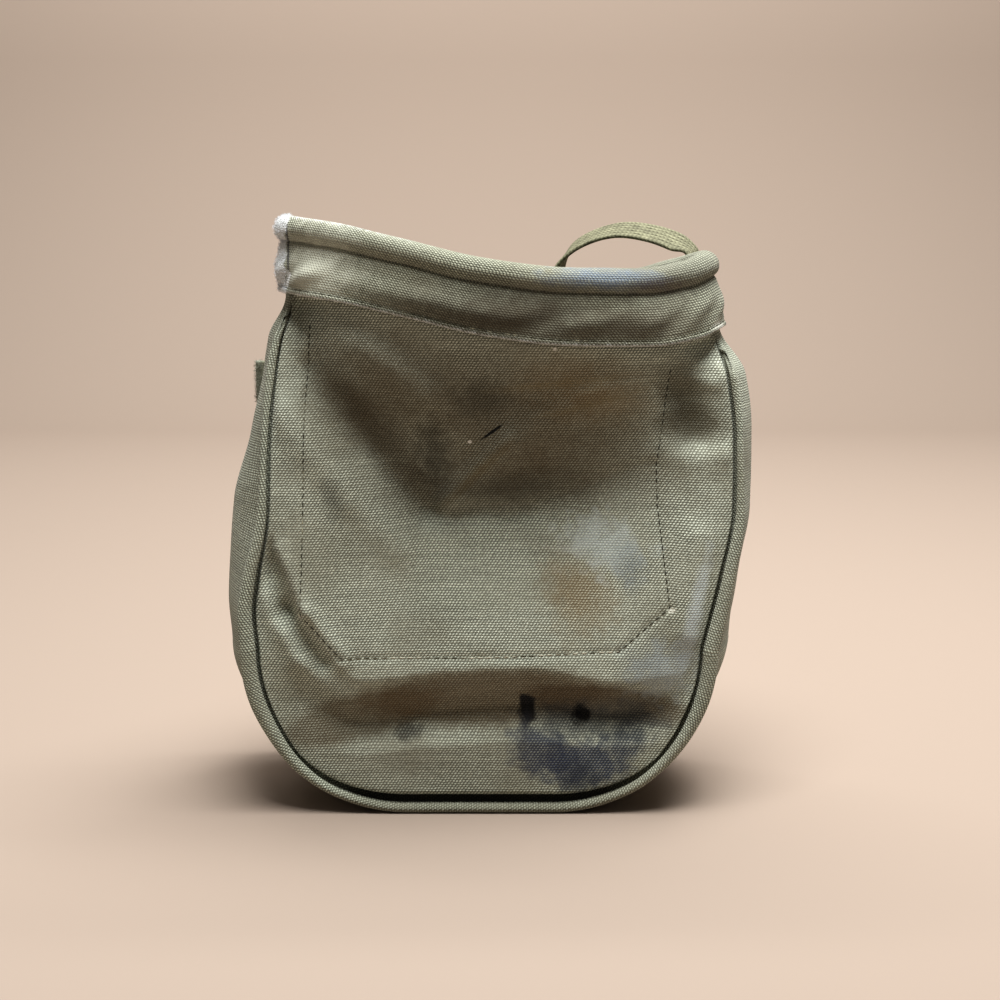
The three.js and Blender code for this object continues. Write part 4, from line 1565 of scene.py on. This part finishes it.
@dataclass(frozen=True)
class InnerPocket:
    """The patch pocket inside the front, a second layer that follows the front's own folds."""

    front: FrontPanel
    wall: float = 1.2
    top_share: float = 0.1
    low_share: float = 0.74
    margin_share: float = 0.147
    step: int = 2
    flat: tuple[float, float] = (0.174, 0.142)
    flat_area: float = 0.0225

    def build(self) -> Object:
        """Make the pocket behind the front's wall, and dress it.

        Returns:
            The finished pocket.
        """
        grid = self.front.grid()
        first = self.front.band_rows + int(self.top_share * self.front.rows)
        last = self.front.band_rows + int(self.low_share * self.front.rows)
        margin = int(self.margin_share * self.front.columns)
        patch = grid[first : last : self.step, margin : -margin : self.step]
        across, down = np.gradient(patch, axis=1), np.gradient(patch, axis=0)
        inward = unit(np.cross(down, across))
        inward *= np.sign(inward[..., 1:2])
        layer = grid_object("inner_pocket_cloth", patch + inward * (WALL + GAP), upright=True)
        piece = thicken(layer, self.wall)
        place(cover(piece, DUCK.material()), Slot.CANVAS, "inner_pocket")
        return piece


@dataclass(frozen=True)
class Gusset:
    """The strip round the sides and bottom, folded to a rounded lip along each panel."""

    outline: Outline
    side_steps: int = 120
    bottom_steps: int = 150
    band_steps: int = 8
    spans: tuple[float, ...] = (0.16, 0.32, 0.5, 0.68, 0.84)
    lip_samples: int = 4
    span_samples: int = 7
    rubbed: float = 0.22
    rubbed_reach: float = 0.6
    # painted shade in the grooves behind the lips: its strength
    soiled: float = 0.92
    shade_ends: float = 0.2  # how far past the throat the painted shade ends, in steps of the lip's section
    ripple: float = 0.8
    ripple_size: float = 17.0
    ripple_steps: tuple[float, float] = (1.6, 1.3)
    lip_ripple: float = 0.5  # share of the ripples that the lips have
    standing: float = 12.0  # below this height the ripples die away
    flat: tuple[float, float] = (0.105, 0.62)

    def build(self) -> Object:
        """Make the gusset with its wall, and dress it.

        Returns:
            The finished gusset.
        """
        left = self.outline.sides(Side.LEFT, np.linspace(0, 1, self.side_steps))
        right = self.outline.sides(Side.RIGHT, np.linspace(0, 1, self.side_steps))
        downs = np.linspace(PANEL_TOP, BAND_END, self.band_steps, endpoint=False)
        turned = slice(None, None, -1)
        bottom = self.outline.bottom(np.linspace(0, 1, self.bottom_steps)).pick(slice(1, -1))
        right_top = right.lower(downs).pick(turned)
        at = left.lower(downs).join(left, bottom, right.pick(turned), right_top)
        points = self.sections(at)[:, ::-1]
        piece = thicken(grid_object("gusset_cloth", points, self.wear(points)), WALL)
        place(cover(piece, BASE_SHADED_DUCK.material()), Slot.CANVAS, "gusset")
        return piece

    def sections(self, at: Stations) -> Array:
        """Work out the gusset's outer skin.

        Args:
            at: the stations, left top to right top.

        Returns:
            A grid of places: a row for each station, from the front lip to the back lip.
        """
        sizes = [np.maximum(at.lip, row.least) for row in LIP]
        lips = [row.inward * size * mix(row.low, 1.0, lip_raised(at.z)) for row, size in zip(LIP, sizes)]
        reaches = [row.back * size for row, size in zip(LIP, sizes)]
        inward = lips + [-at.bulge * 4 * share * (1 - share) for share in self.spans] + lips[::-1]
        start, stop = at.front + reaches[-1], at.back - reaches[-1]
        depth = [at.front + reach for reach in reaches]
        depth += [mix(start, stop, share) for share in self.spans]
        depth += [at.back - reach for reach in reversed(reaches)]
        counts = [self.lip_samples] * (len(LIP) - 1)
        counts = counts + [self.span_samples] * (len(self.spans) + 1) + counts
        places = [i + k / n for i, n in enumerate(counts) for k in range(n)] + [float(len(counts))]
        knots = list(range(len(inward)))
        where = np.array(places)[None, :]
        inward = through(knots, [v[:, None] for v in inward], where)
        depth = through(knots, [v[:, None] for v in depth], where)
        across = np.arange(where.size)[None, :] * self.ripple_steps[0]
        along = np.arange(len(at.x))[:, None] * self.ripple_steps[1]
        middle = np.clip(np.minimum(where, len(knots) - 1 - where) - len(LIP) + 1, self.lip_ripple, 1)
        stand = np.minimum(at.z[:, None] / self.standing, 1)
        wave = ripples(across, along, self.ripple_size, Seed.GUSSET)
        inward = inward - self.ripple * middle * stand * wave
        body = at.point(inward, depth)
        mouth = self.outline.mouth
        start, stop = (mouth.seam_angle(at.side, face)[:, None] for face in Face)
        angles = mix(start, stop, where / where.max())
        on_mouth = mouth.wall(angles, np.minimum(at.down, BODY_START)[:, None])
        return mix(on_mouth, body, body_share(at.down)[:, None, None])

    def wear(self, points: Array) -> Array:
        """Rub the dye off the noses of the lips, and paint shade into the grooves behind them, most along
        the bottom.

        Args:
            points: the gusset's places.

        Returns:
            Wear at each place, with the grooves' painted shade below 0.
        """
        columns = np.arange(points.shape[1])
        edge = np.minimum(columns, points.shape[1] - 1 - columns) / self.lip_samples
        names = [row.name for row in LIP]
        rubbed = self.rubbed * bump_of(edge - names.index("nose"), self.rubbed_reach)
        inside = 1 - smoothstep(edge, names.index("slot"), names.index("throat") + self.shade_ends)
        return rubbed - self.soiled * inside * shade_left(points[..., 2])


@dataclass(frozen=True)
class Rim:
    """The rolled rim over a cord, and the facing stitched down below it."""

    mouth: Mouth
    steps: int = 330
    step_length: float = 1.35
    roll_points: int = 40
    roll_set: float = -1.2
    roll_swell: float = 0.03
    roll_ripple: float = 13.0
    roll_rub_and_highlight: Ramp = Ramp(-70.0, 10.0, 0.5, 0.1)  # rub and painted highlight along the top, by x
    facing_gap: float = 0.4
    facing: float = 1.9
    stitch_down: float = 29.8
    belly: float = 1.7
    loose_from: float = 12.0  # below this distance from the roll's top the facing stands free
    pucker: float = 1.6
    pucker_size: float = 12.0
    pucker_slant: float = 1.2
    pucker_share: float = 0.7
    long_size: float = 40.0
    long_share: float = 0.3
    lift: float = 0.3
    flare: float = 5.0  # how far the facing stands off at the left corner
    flare_across: tuple[float, float] = (52.0, 80.0)  # left of the middle
    flare_front: tuple[float, float] = (5.0, 22.0)  # in front of the middle
    hem_rub: float = 0.6
    hem_rub_reach: float = 1.6
    worn_from: float = -88.8
    worn_to: float = -90.6
    worn_ragged: float = 2.2
    worn_ragged_size: float = 4.0
    facing_flat: tuple[float, float] = (0.027, 0.47)

    @property
    def angles(self) -> Array:
        """Places round the mouth, starting at the back."""
        return np.linspace(math.pi / 2, math.pi / 2 + math.tau, self.steps, endpoint=False)

    def worn_corner(self, points: Array, rubbed: Array) -> Array:
        """Rub the left corner bare.

        Args:
            points: places of a rim piece.
            rubbed: its other wear, which on the roll includes a painted highlight along its top.

        Returns:
            Wear at each place.
        """
        x, y, z = np.moveaxis(points, -1, 0)
        wave = ripples(y + 100, z, self.worn_ragged_size, Seed.WORN_CORNER)
        ragged = x + self.worn_ragged * wave
        bare = smoothstep(-ragged, -self.worn_from, -self.worn_to)
        return np.maximum(bare, np.broadcast_to(rubbed, bare.shape))

    def build_roll(self) -> Object:
        """Make the roll as one closed ring, and dress it.

        Returns:
            The finished roll.
        """
        turn = np.linspace(math.tau, 0, self.roll_points, endpoint=False)
        around = np.arange(self.steps) * self.step_length
        uneven = ripples(turn[:, None] * ROLL_RADIUS + 40, around[None, :], self.roll_ripple, Seed.ROLL)
        radius = ROLL_RADIUS * (1 + self.roll_swell * uneven)
        out = self.roll_set + radius * np.cos(turn)[:, None]
        down = ROLL_RADIUS - radius * np.sin(turn)[:, None]
        points = self.mouth.wall(self.angles[None, :], down, out)
        # painted highlight and rub: the roll gets paler where it faces up to the light, most at the left
        rub = self.roll_rub_and_highlight
        fading = mix(rub.least, rub.most, smoothstep(points[..., 0], rub.low, rub.high))
        top = np.maximum(np.sin(turn), 0)[:, None] ** 2 * fading
        piece = grid_object("rim_roll", points, self.worn_corner(points, top), ring=True, tube=True)
        place(cover(piece, RUBBED_AND_PAINTED_LIGHT_DUCK.material()), Slot.RIM, "rim_band")
        return piece

    def facing_section(self) -> Array:
        """Draw the facing's section: tucked under the roll, down to its hem and back up inside.

        Returns:
            Rows of distance out from the cloth and distance down from the roll's top.
        """
        outer = self.facing_gap + self.facing
        low = BAND_HEIGHT
        corner = [(self.facing_gap, 9.8), (0.9, 10.2), (1.9, 11.6), (outer, 14.0)]
        face = [(outer, d) for d in np.linspace(16, low - 5, 9)]
        hem = [(outer + 0.1, low - 3.6), (outer - 0.2, self.stitch_down), (outer + 0.7, low - 1.4)]
        edge = [(outer + 0.7, low - 0.5), (outer - 0.3, low), (self.facing_gap + 0.2, low - 0.3)]
        inside = [(self.facing_gap, d) for d in np.linspace(low - 3, 12, 6)]
        return np.array(corner + face + hem + edge + inside)

    def build_facing(self) -> Object:
        """Make the facing as one closed band, puckered between the roll and its hem, and dress it.

        Returns:
            The finished facing.
        """
        out, down = np.split(self.facing_section(), 2, axis=1)
        loose = smoothstep(down, self.loose_from, BAND_HEIGHT)
        around = np.arange(self.steps)[None, :] * self.step_length
        slanted = ripples(around + self.pucker_slant * down, down + 60, self.pucker_size, Seed.FACING)
        long_waves = ripples(around, down, self.long_size, Seed.FACING_LONG)
        wave = self.pucker_share * slanted + self.long_share * long_waves
        belly = self.belly * np.sin(math.pi * loose)
        edge = self.mouth.wall(self.angles, BAND_HEIGHT)
        at_left = smoothstep(-edge[:, 0], *self.flare_across)
        flare = self.flare * at_left * smoothstep(-edge[:, 1], *self.flare_front)
        pucker = self.lift * loose * (1 + wave) + belly * (1 + self.pucker * wave)
        points = self.mouth.wall(self.angles[None, :], down, out + pucker + flare[None] * loose)
        rubbed = self.hem_rub * bump_of(down - BAND_HEIGHT, self.hem_rub_reach) * (out > 1)
        piece = grid_object("rim_facing", points, self.worn_corner(points, rubbed), ring=True, tube=True)
        place(cover(piece, RUBBED_AND_PAINTED_LIGHT_DUCK.material()), Slot.RIM)
        return piece


@dataclass(frozen=True)
class Strap:
    """A run of flat webbing: section across its width, rounded at the edges."""

    name: str
    node: str
    length: float
    held: Held
    width: float = WEB_WIDTH
    thick: float = WEB_THICK
    face_points: int = 9
    edge_turns: tuple[int, ...] = (60, 30, 0, -30, -60)

    def sweep(self, middle: Array, across: Array, normal: Array, wear: Array | float = 0.0) -> Object:
        """Carry the section along a path, and dress the strap.

        Args:
            middle: places on the path.
            across: directions across the width.
            normal: directions out of the outer face.
            wear: rub at each place on the path.

        Returns:
            The strap as one closed mesh.
        """
        half, thin = self.width / 2, self.thick / 2
        flat = np.linspace(-half + thin, half - thin, self.face_points)
        bend = np.radians(self.edge_turns)
        right = [(half - thin + thin * math.cos(a), thin * math.sin(a)) for a in bend]
        section = [(x, thin) for x in flat] + right
        section = np.array(section + [(-x, -y) for x, y in section])[:, :, None, None]
        points = middle[None] + across[None] * section[:, 0] + normal[None] * section[:, 1]
        rubbed = np.broadcast_to(np.asarray(wear, float), points.shape[:2])
        piece = grid_object(self.name, points, rubbed, tube=True)
        self.cap(piece, *points.shape[:2])
        place(cover(piece, WEBBING.material()), Slot.WEBBING, self.node)
        return piece

    @staticmethod
    def cap(piece: Object, rows: int, columns: int) -> None:
        """Close both cut ends.

        Args:
            piece: the open strap.
            rows: points round its section.
            columns: sections along it.
        """
        work = bmesh.new()
        work.from_mesh(piece.data)
        work.verts.ensure_lookup_table()
        work.faces.new([work.verts[r * columns] for r in range(rows)])
        work.faces.new([work.verts[r * columns + columns - 1] for r in reversed(range(rows))])
        bmesh.ops.recalc_face_normals(work, faces=work.faces)
        work.to_mesh(piece.data)
        work.free()


@dataclass(frozen=True)
class HangingLoop:
    """The webbing loop: legs sewn flat behind the facing, turning edge-on over the roll."""

    mouth: Mouth
    left_angle: float = 1.26
    right_angle: float = 0.5
    lean: float = 0.36
    steps: int = 150
    strap: Strap = Strap("hanging_loop_webbing", "hanging_loop", 165.0, Held.HUNG)

    def leg(self, angle: float, side: Side) -> tuple[Array, Array]:
        """Lead one leg from its sewn end up.

        Args:
            angle: place round the mouth.
            side: which way its width points.

        Returns:
            Places and width directions.
        """
        normal = self.mouth.normal(np.array(angle))
        along = np.array([normal[1], -normal[0], 0.0]) * side.value
        down, out, twist = np.array(LOOP_LEG, float).T
        twist = np.radians(twist)[:, None]
        return self.mouth.wall(angle, down, out), along * np.cos(twist) + normal * np.sin(twist)

    def build(self) -> Object:
        """Make the loop and dress it.

        Returns:
            The finished loop.
        """
        left, left_across = self.leg(self.left_angle, Side.RIGHT)
        right, right_across = (values[::-1] for values in self.leg(self.right_angle, Side.LEFT))
        xs, zs = np.array(LOOP_ARCH).T
        share = ((xs - left[-1, 0]) / (right[0, 0] - left[-1, 0]))[:, None]
        arch = np.stack([xs, mix(left[-1, 1], right[0, 1], share[:, 0]), zs], axis=1)
        arch_across = mix(left_across[-1], right_across[0], share)
        arch_across[:, 2] = self.lean
        at = np.linspace(0, 1, self.steps)
        middle = catmull(np.concatenate([left, arch, right]), at)
        across = catmull(np.concatenate([left_across, unit(arch_across), right_across]), at)
        travel = unit(np.gradient(middle, axis=0))
        across = unit(across - travel * np.sum(across * travel, axis=1, keepdims=True))
        return self.strap.sweep(middle, across, unit(np.cross(travel, across)))


@dataclass(frozen=True)
class BackStrap:
    """The webbing strap across the back, riding over the back lips and frayed past the left one."""

    back: BackPanel
    left: float = -111.0
    right: float = 99.0
    low: float = 170.0
    over_lip: float = 8.0
    settled: float = 26.0
    seat: float = 1.5  # how far its inner face stands off the back's depth
    frayed: float = 4.0
    steps: int = 150
    strap: Strap = Strap("back_strap_webbing", "back_strap", 235.0, Held.STRETCHED)

    def build(self) -> Object:
        """Make the strap and dress it.

        Returns:
            The finished strap.
        """
        x = np.linspace(self.left, self.right, self.steps)
        z = np.full_like(x, self.low + WEB_WIDTH / 2)
        left, right, lip = (column(BODY, "z", name, z) for name in ("left", "right", "back"))
        lying = smoothstep(np.minimum(x - left, right - x), self.over_lip, self.settled)
        y = mix(lip, self.back.depth(x, z), lying) + self.seat + WEB_THICK / 2
        middle = np.stack([x, y, z], axis=1)
        travel = unit(np.gradient(middle, axis=0))
        across = np.broadcast_to(np.array([0.0, 0.0, 1.0]), middle.shape)
        rubbed = bump_of(x - self.left, self.frayed)
        return self.strap.sweep(middle, across, unit(np.cross(across, travel)), rubbed)


# What is sewn and frayed
FIBRE_LEAN = 0.3  # share of its length that a fibre's middle leans
FIBRE_TILT = 0.5  # radians off the cloth's own direction out, at most
FIBRE_SIZES = (0.35, 1.0)


@dataclass(frozen=True)
class NodeTree:
    """A Geometry Nodes tree with named inputs."""

    tree: bpy.types.GeometryNodeTree
    keys: dict[str, str]

    @staticmethod
    def start(name: str, sizes: Sequence[str]) -> tuple[NodeTree, bpy.types.NodeOutputs]:
        """Make a tree with a mesh, its sizes, a seed and a thread for inputs.

        Args:
            name: name of the tree.
            sizes: names of the inputs that are numbers.

        Returns:
            The tree with the identifiers of its inputs, and the sockets that give their values.
        """
        tree = bpy.data.node_groups.new(name, "GeometryNodeTree")
        tree.interface.new_socket("Geometry", in_out="OUTPUT", socket_type="NodeSocketGeometry")
        kinds = {"Geometry": "NodeSocketGeometry", **{size: "NodeSocketFloat" for size in sizes}}
        kinds |= {"Seed": "NodeSocketInt", "Thread": "NodeSocketMaterial"}
        keys = {}
        for label, kind in kinds.items():
            keys[label] = tree.interface.new_socket(label, in_out="INPUT", socket_type=kind).identifier
        return NodeTree(tree, keys), add(tree, Kind.GROUP_INPUT).outputs

    def end(self, instances: Node, given: bpy.types.NodeOutputs) -> NodeTree:
        """Realize the instances, give them their thread and put them out.

        Args:
            instances: the node that lays them.
            given: the tree's inputs.

        Returns:
            The finished tree.
        """
        real = add(self.tree, Kind.REALIZE, (instances,))
        dressed = add(self.tree, Kind.SET_MATERIAL, {"Geometry": real, "Material": given["Thread"]})
        add(self.tree, Kind.GROUP_OUTPUT, (dressed,))
        return self

    def grow(self, piece: Object, values: dict[str, Any]) -> Object:
        """Run the tree on a piece and keep the result as plain mesh.

        Args:
            piece: what the tree works on.
            values: the tree's inputs by name.

        Returns:
            The same object.
        """
        modifier = piece.modifiers.new(self.tree.name, "NODES")
        modifier.node_group = self.tree
        for label, value in values.items():
            modifier[self.keys[label]] = value
        settle(piece)
        piece.data.shade_smooth()
        return piece


def stitch_tree() -> NodeTree:
    """Build the tree that lays stitches along a line drawn on the cloth.

    Returns:
        A tree with the inputs Pitch, Stitch Length, Thickness, Sway, Seed and Thread.
    """
    made, given = NodeTree.start("stitches", ("Pitch", "Stitch Length", "Thickness", "Sway"))
    tree = made.tree
    line = add(tree, Kind.TO_CURVE, (given["Geometry"],))
    spaced = add(tree, Kind.RESAMPLE, {"Curve": line, "Length": given["Pitch"]}, mode="LENGTH")
    half_length = add(tree, Kind.MATH, (given["Stitch Length"], 0.5), operation="MULTIPLY")
    half_thick = add(tree, Kind.MATH, (given["Thickness"], 0.5), operation="MULTIPLY")
    shape = add(tree, Kind.COMBINE, (half_length, half_thick, half_thick))
    ball = add(tree, Kind.BALL, {"Segments": 8, "Rings": 5, "Radius": 1.0})
    stitch = add(tree, Kind.TRANSFORM, {"Geometry": ball, "Scale": shape})
    normal = add(tree, Kind.NAMED, {"Name": CLOTH_NORMAL}, data_type="FLOAT_VECTOR")
    along = add(tree, Kind.ALIGN, {"Vector": add(tree, Kind.TANGENT)}, axis="X")
    flat = add(tree, Kind.ALIGN, {"Rotation": along, "Vector": normal}, axis="Z", pivot_axis="X")
    back = add(tree, Kind.MATH, (given["Sway"], -1.0), operation="MULTIPLY")
    sway = add(tree, Kind.RANDOM, {2: back, 3: given["Sway"], "Seed": given["Seed"]}, data_type="FLOAT")
    turn = add(tree, Kind.EULER, (add(tree, Kind.COMBINE, {2: sway}),))
    turned = add(tree, Kind.ROTATE, {"Rotation": flat, "Rotate By": turn}, rotation_space="LOCAL")
    laid = add(tree, Kind.INSTANCE, {"Points": spaced, "Instance": stitch, "Rotation": turned})
    return made.end(laid, given)


def fray_tree() -> NodeTree:
    """Build the tree that stands loose fibres on a patch of worn cloth.

    Returns:
        A tree with the inputs Density, Fibre Length, Thickness, Seed and Thread.
    """
    made, given = NodeTree.start("fray", ("Density", "Fibre Length", "Thickness"))
    tree, length, seed = made.tree, given["Fibre Length"], given["Seed"]
    points = add(tree, Kind.SCATTER, {"Mesh": given["Geometry"], "Density": given["Density"], "Seed": seed})
    lean = add(tree, Kind.MATH, (length, FIBRE_LEAN), operation="MULTIPLY")
    middle = add(tree, Kind.COMBINE, {0: lean, 2: length})
    tip = add(tree, Kind.COMBINE, {0: length, 2: length})
    curve = {"Resolution": 3, "Start": (0, 0, 0), "Middle": middle, "End": tip}
    ring = add(tree, Kind.CIRCLE, {"Resolution": 3, "Radius": given["Thickness"]})
    fibre = add(tree, Kind.TO_MESH, {"Curve": add(tree, Kind.BEZIER, curve), "Profile Curve": ring})
    least, most = (-FIBRE_TILT, -FIBRE_TILT, 0.0), (FIBRE_TILT, FIBRE_TILT, math.tau)
    spread = {0: least, 1: most, "Seed": seed}
    turn = add(tree, Kind.EULER, (add(tree, Kind.RANDOM, spread, data_type="FLOAT_VECTOR"),))
    rotation = {"Rotation": points.outputs["Rotation"], "Rotate By": turn}
    turned = add(tree, Kind.ROTATE, rotation, rotation_space="LOCAL")
    sizes = {2: FIBRE_SIZES[0], 3: FIBRE_SIZES[1], "Seed": seed}
    size = add(tree, Kind.RANDOM, sizes, data_type="FLOAT")
    fibres = {"Points": points, "Instance": fibre, "Rotation": turned, "Scale": size}
    return made.end(add(tree, Kind.INSTANCE, fibres), given)


def walk(points: Array, spacing: float) -> Array:
    """Step along straight runs between points.

    Args:
        points: places, one row each.
        spacing: length of a step.

    Returns:
        Places at about that spacing.
    """
    runs = np.linalg.norm(np.diff(points, axis=0), axis=1)
    along = np.concatenate([[0], np.cumsum(runs)])
    at = np.linspace(0, along[-1], max(2, int(along[-1] / spacing) + 1))
    return np.stack([np.interp(at, along, points[:, k]) for k in range(points.shape[1])], axis=1)


@dataclass(frozen=True)
class Stitching:
    """Stitch lines: places are found by casting rays at a piece, so that every stitch lies on its cloth."""

    tree: NodeTree
    rise: float = 0.1
    length: float = 2.6
    pitch: float = 3.6
    thickness: float = 0.5
    sway: float = 0.12
    spacing: float = 1.0
    before: float = -150.0  # depth that rays start from, in front of the bag
    beyond: float = 40.0  # and distance out from the facing
    band_points: int = 700
    low_left: int = 3  # where the pocket's seam turns along the bottom, and where it turns up again
    low_right: int = 5

    def drop(self, piece: Object, starts: Array, toward: Array) -> tuple[Array, Array]:
        """Drop a line on to a piece.

        Args:
            piece: the cloth.
            starts: places off the cloth, in drawing millimetres.
            toward: directions to cast in.

        Returns:
            Places on the cloth in metres, and the cloth's directions out.
        """
        vertices = [v.co for v in piece.data.vertices]
        cloth = BVHTree.FromPolygons(vertices, [p.vertices for p in piece.data.polygons])
        places, normals = [], []
        for start, way in zip((starts - FOOT_MIDDLE) * MM, np.broadcast_to(toward, starts.shape)):
            hit, normal, _, _ = cloth.ray_cast(Vector(start), Vector(way))
            if hit is not None:
                places.append(hit + normal * self.rise * MM)
                normals.append(normal)
        return np.array(places), np.array(normals)

    def sew(self, name: str, runs: Sequence, thread: ThreadFinish, slot: Slot, seed: Seed) -> Object:
        """Lay stitches along lines on the cloth.

        Args:
            name: name of the piece.
            runs: lines from the drop method.
            thread: the thread's finish.
            slot: the slot of the cloth.
            seed: fixes the stitches' sway.

        Returns:
            The stitches as one mesh.
        """
        vertices = np.concatenate([places for places, _ in runs])
        normals = np.concatenate([n for _, n in runs])
        edges, first = [], 0
        for places, _ in runs:
            edges += [(first + k, first + k + 1) for k in range(len(places) - 1)]
            first += len(places)
        mesh = bpy.data.meshes.new(name)
        mesh.from_pydata(vertices.tolist(), edges, [])
        out = mesh.attributes.new(CLOTH_NORMAL, "FLOAT_VECTOR", "POINT")
        out.data.foreach_set("vector", normals.astype(np.float32).ravel())
        sizes = {"Pitch": self.pitch, "Stitch Length": self.length, "Thickness": self.thickness}
        values = {key: size * MM for key, size in sizes.items()}
        values |= {"Sway": self.sway, "Seed": seed.value, "Thread": thread.material()}
        return place(self.tree.grow(new_object(name, mesh), values), slot)

    def build_pocket(self, front: Object) -> None:
        """Sew the pocket to the front: dark thread up both sides, rubbed thread along the bottom.

        Args:
            front: the front panel.
        """
        seam = np.array([(point.x, self.before, point.z) for point in POCKET_SEAM])
        inwards = np.array([0.0, 1.0, 0.0])
        start, stop = self.low_left, self.low_right
        runs = (seam[: start + 1], seam[start : stop + 1], seam[stop:])
        left, low, right = (self.drop(front, walk(points, self.spacing), inwards) for points in runs)
        sides = Seed.POCKET_SIDE_STITCHES
        self.sew("pocket_side_stitches", [left, right], SEAM_THREAD, Slot.CANVAS, sides)
        self.sew("pocket_low_stitches", [low], LOW_THREAD, Slot.CANVAS, Seed.POCKET_LOW_STITCHES)

    def build_facing(self, facing: Object, rim: Rim) -> None:
        """Sew the facing down near its hem.

        Args:
            facing: the facing.
            rim: the rim that it belongs to.
        """
        angles = np.linspace(0, math.tau, self.band_points)
        starts = rim.mouth.wall(angles, rim.stitch_down, self.beyond)
        run = self.drop(facing, starts, -rim.mouth.normal(angles))
        self.sew("facing_stitches", [run], BAND_THREAD, Slot.RIM, Seed.FACING_STITCHES)


@dataclass(frozen=True)
class Fraying:
    """Loose fibres on the cloth left of a place: how many stand on a square millimetre, and their sizes."""

    name: str
    left_of: float
    finish: ThreadFinish
    slot: Slot
    density: float
    length: float
    thickness: float
    seed: Seed

    def build(self, tree: NodeTree, piece: Object) -> Object:
        """Stand the fibres on a piece, and dress them.

        Args:
            tree: the tree that stands them.
            piece: the worn cloth.

        Returns:
            The fibres as one mesh.
        """
        limit = (self.left_of - FOOT_MIDDLE[0]) * MM
        faces = [p for p in piece.data.polygons if p.center[0] < limit]
        used = sorted({v for p in faces for v in p.vertices})
        order = {v: k for k, v in enumerate(used)}
        mesh = bpy.data.meshes.new(self.name)
        vertices = [piece.data.vertices[v].co[:] for v in used]
        mesh.from_pydata(vertices, [], [[order[v] for v in p.vertices] for p in faces])
        values = {"Density": self.density / MM**2, "Fibre Length": self.length * MM}
        values |= {"Thickness": self.thickness * MM, "Seed": self.seed.value}
        values |= {"Thread": self.finish.material()}
        return place(tree.grow(new_object(self.name, mesh), values), self.slot)


# On the roll, the facing and the strap
FRAYED = (
    Fraying("worn_corner_fibres", -89.5, FIBRE, Slot.RIM, 2.4, 0.9, 0.06, Seed.ROLL_FIBRES),
    Fraying("worn_facing_fibres", -90.0, FIBRE, Slot.RIM, 2.0, 0.9, 0.07, Seed.FACING_FIBRES),
    Fraying("strap_end_fibres", -107.5, WEB_FIBRE, Slot.WEBBING, 4.0, 1.1, 0.07, Seed.STRAP_FIBRES),
)


# Studio
@dataclass(frozen=True)
class SoftBox:
    """One soft light: its place, aim and size in millimetres, and its power in watts."""

    name: str
    place: Place
    aim: Place
    size: tuple[float, float]
    power: float

    def build(self) -> None:
        """Make the light."""
        lamp = bpy.data.lights.new(self.name, "AREA")
        lamp.shape = "RECTANGLE"
        lamp.size, lamp.size_y = self.size[0] * MM, self.size[1] * MM
        lamp.energy = self.power
        light = bpy.data.objects.new(self.name, lamp)
        light.location = Vector(self.place) * MM
        light.rotation_euler = (Vector(self.aim) * MM - light.location).to_track_quat("-Z", "Y").to_euler()
        bpy.context.scene.collection.objects.link(light)


@dataclass(frozen=True)
class Studio:
    """Pale paper sweep, a soft light overhead, one for the paper behind, and the photo's viewpoint."""

    camera_place: Place = (4.85, -661.67, 229.68)
    camera_down: float = 8.717
    lens: float = 54.0
    sensor: float = 36.0
    boxes: tuple[SoftBox, ...] = (
        SoftBox("key_box", (160.0, -140.0, 1300.0), (0, 0, 100), (1100.0, 520.0), 30.0),
        SoftBox("backdrop_box", (0.0, 900.0, 1900.0), (0, 2000, 700), (2400.0, 600.0), 54.0),
    )
    room: str = "#f2ece6"
    fill: float = 0.15
    sweep_front: float = -2500.0
    sweep_back: float = 1500.0
    sweep_radius: float = 600.0
    sweep_height: float = 2400.0
    sweep_half_width: float = 3000.0
    sweep_points: int = 16

    def build(self) -> None:
        """Make the sweep, the lights, the room and the camera."""
        self.build_paper()
        scene = bpy.context.scene
        scene.view_settings.view_transform = "Standard"
        scene.view_settings.look = "Medium High Contrast"
        world = bpy.data.worlds.new("pale_room")
        world.use_nodes = True
        sky = world.node_tree.nodes["Background"]
        sky.inputs["Color"].default_value = linear(self.room)
        sky.inputs["Strength"].default_value = self.fill
        scene.world = world
        for box in self.boxes:
            box.build()
        data = bpy.data.cameras.new("camera")
        data.lens, data.sensor_width = self.lens, self.sensor
        camera = bpy.data.objects.new("camera", data)
        camera.location = Vector(self.camera_place) * MM
        camera.rotation_euler = (math.radians(90 - self.camera_down), 0, 0)
        scene.collection.objects.link(camera)
        scene.camera = camera

    def build_paper(self) -> None:
        """Make the floor that sweeps up behind the bag."""
        bend = np.linspace(0, math.pi / 2, self.sweep_points)
        y = self.sweep_back + self.sweep_radius * np.sin(bend)
        z = self.sweep_radius * (1 - np.cos(bend))
        points = np.zeros((self.sweep_points + 2, 2, 3))
        points[..., 0] = (-self.sweep_half_width, self.sweep_half_width)
        points[..., 1] = np.array([self.sweep_front, *y, y[-1]])[:, None]
        points[..., 2] = np.array([0.0, *z, self.sweep_height])[:, None]
        floor = cover(grid_object("paper_sweep", points), PaperFinish().material())


def main() -> None:
    """Load the frame, build and dress every piece, and log how many vertices each has."""
    logging.basicConfig(level=logging.INFO, format="%(name)s: %(message)s")
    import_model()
    Studio().build()

    mouth = Mouth()
    outline = Outline(mouth)
    front_panel, back_panel, rim = FrontPanel(outline), BackPanel(outline), Rim(mouth)
    front = front_panel.build()
    Gusset(outline).build()
    back_panel.build()
    InnerPocket(front_panel).build()
    roll = rim.build_roll()
    facing = rim.build_facing()
    HangingLoop(mouth).build()
    strap = BackStrap(back_panel).build()

    stitching = Stitching(stitch_tree())
    stitching.build_pocket(front)
    stitching.build_facing(facing, rim)
    fray = fray_tree()
    for frayed, piece in zip(FRAYED, (roll, facing, strap)):
        frayed.build(fray, piece)


if __name__ == "__main__":
    main()
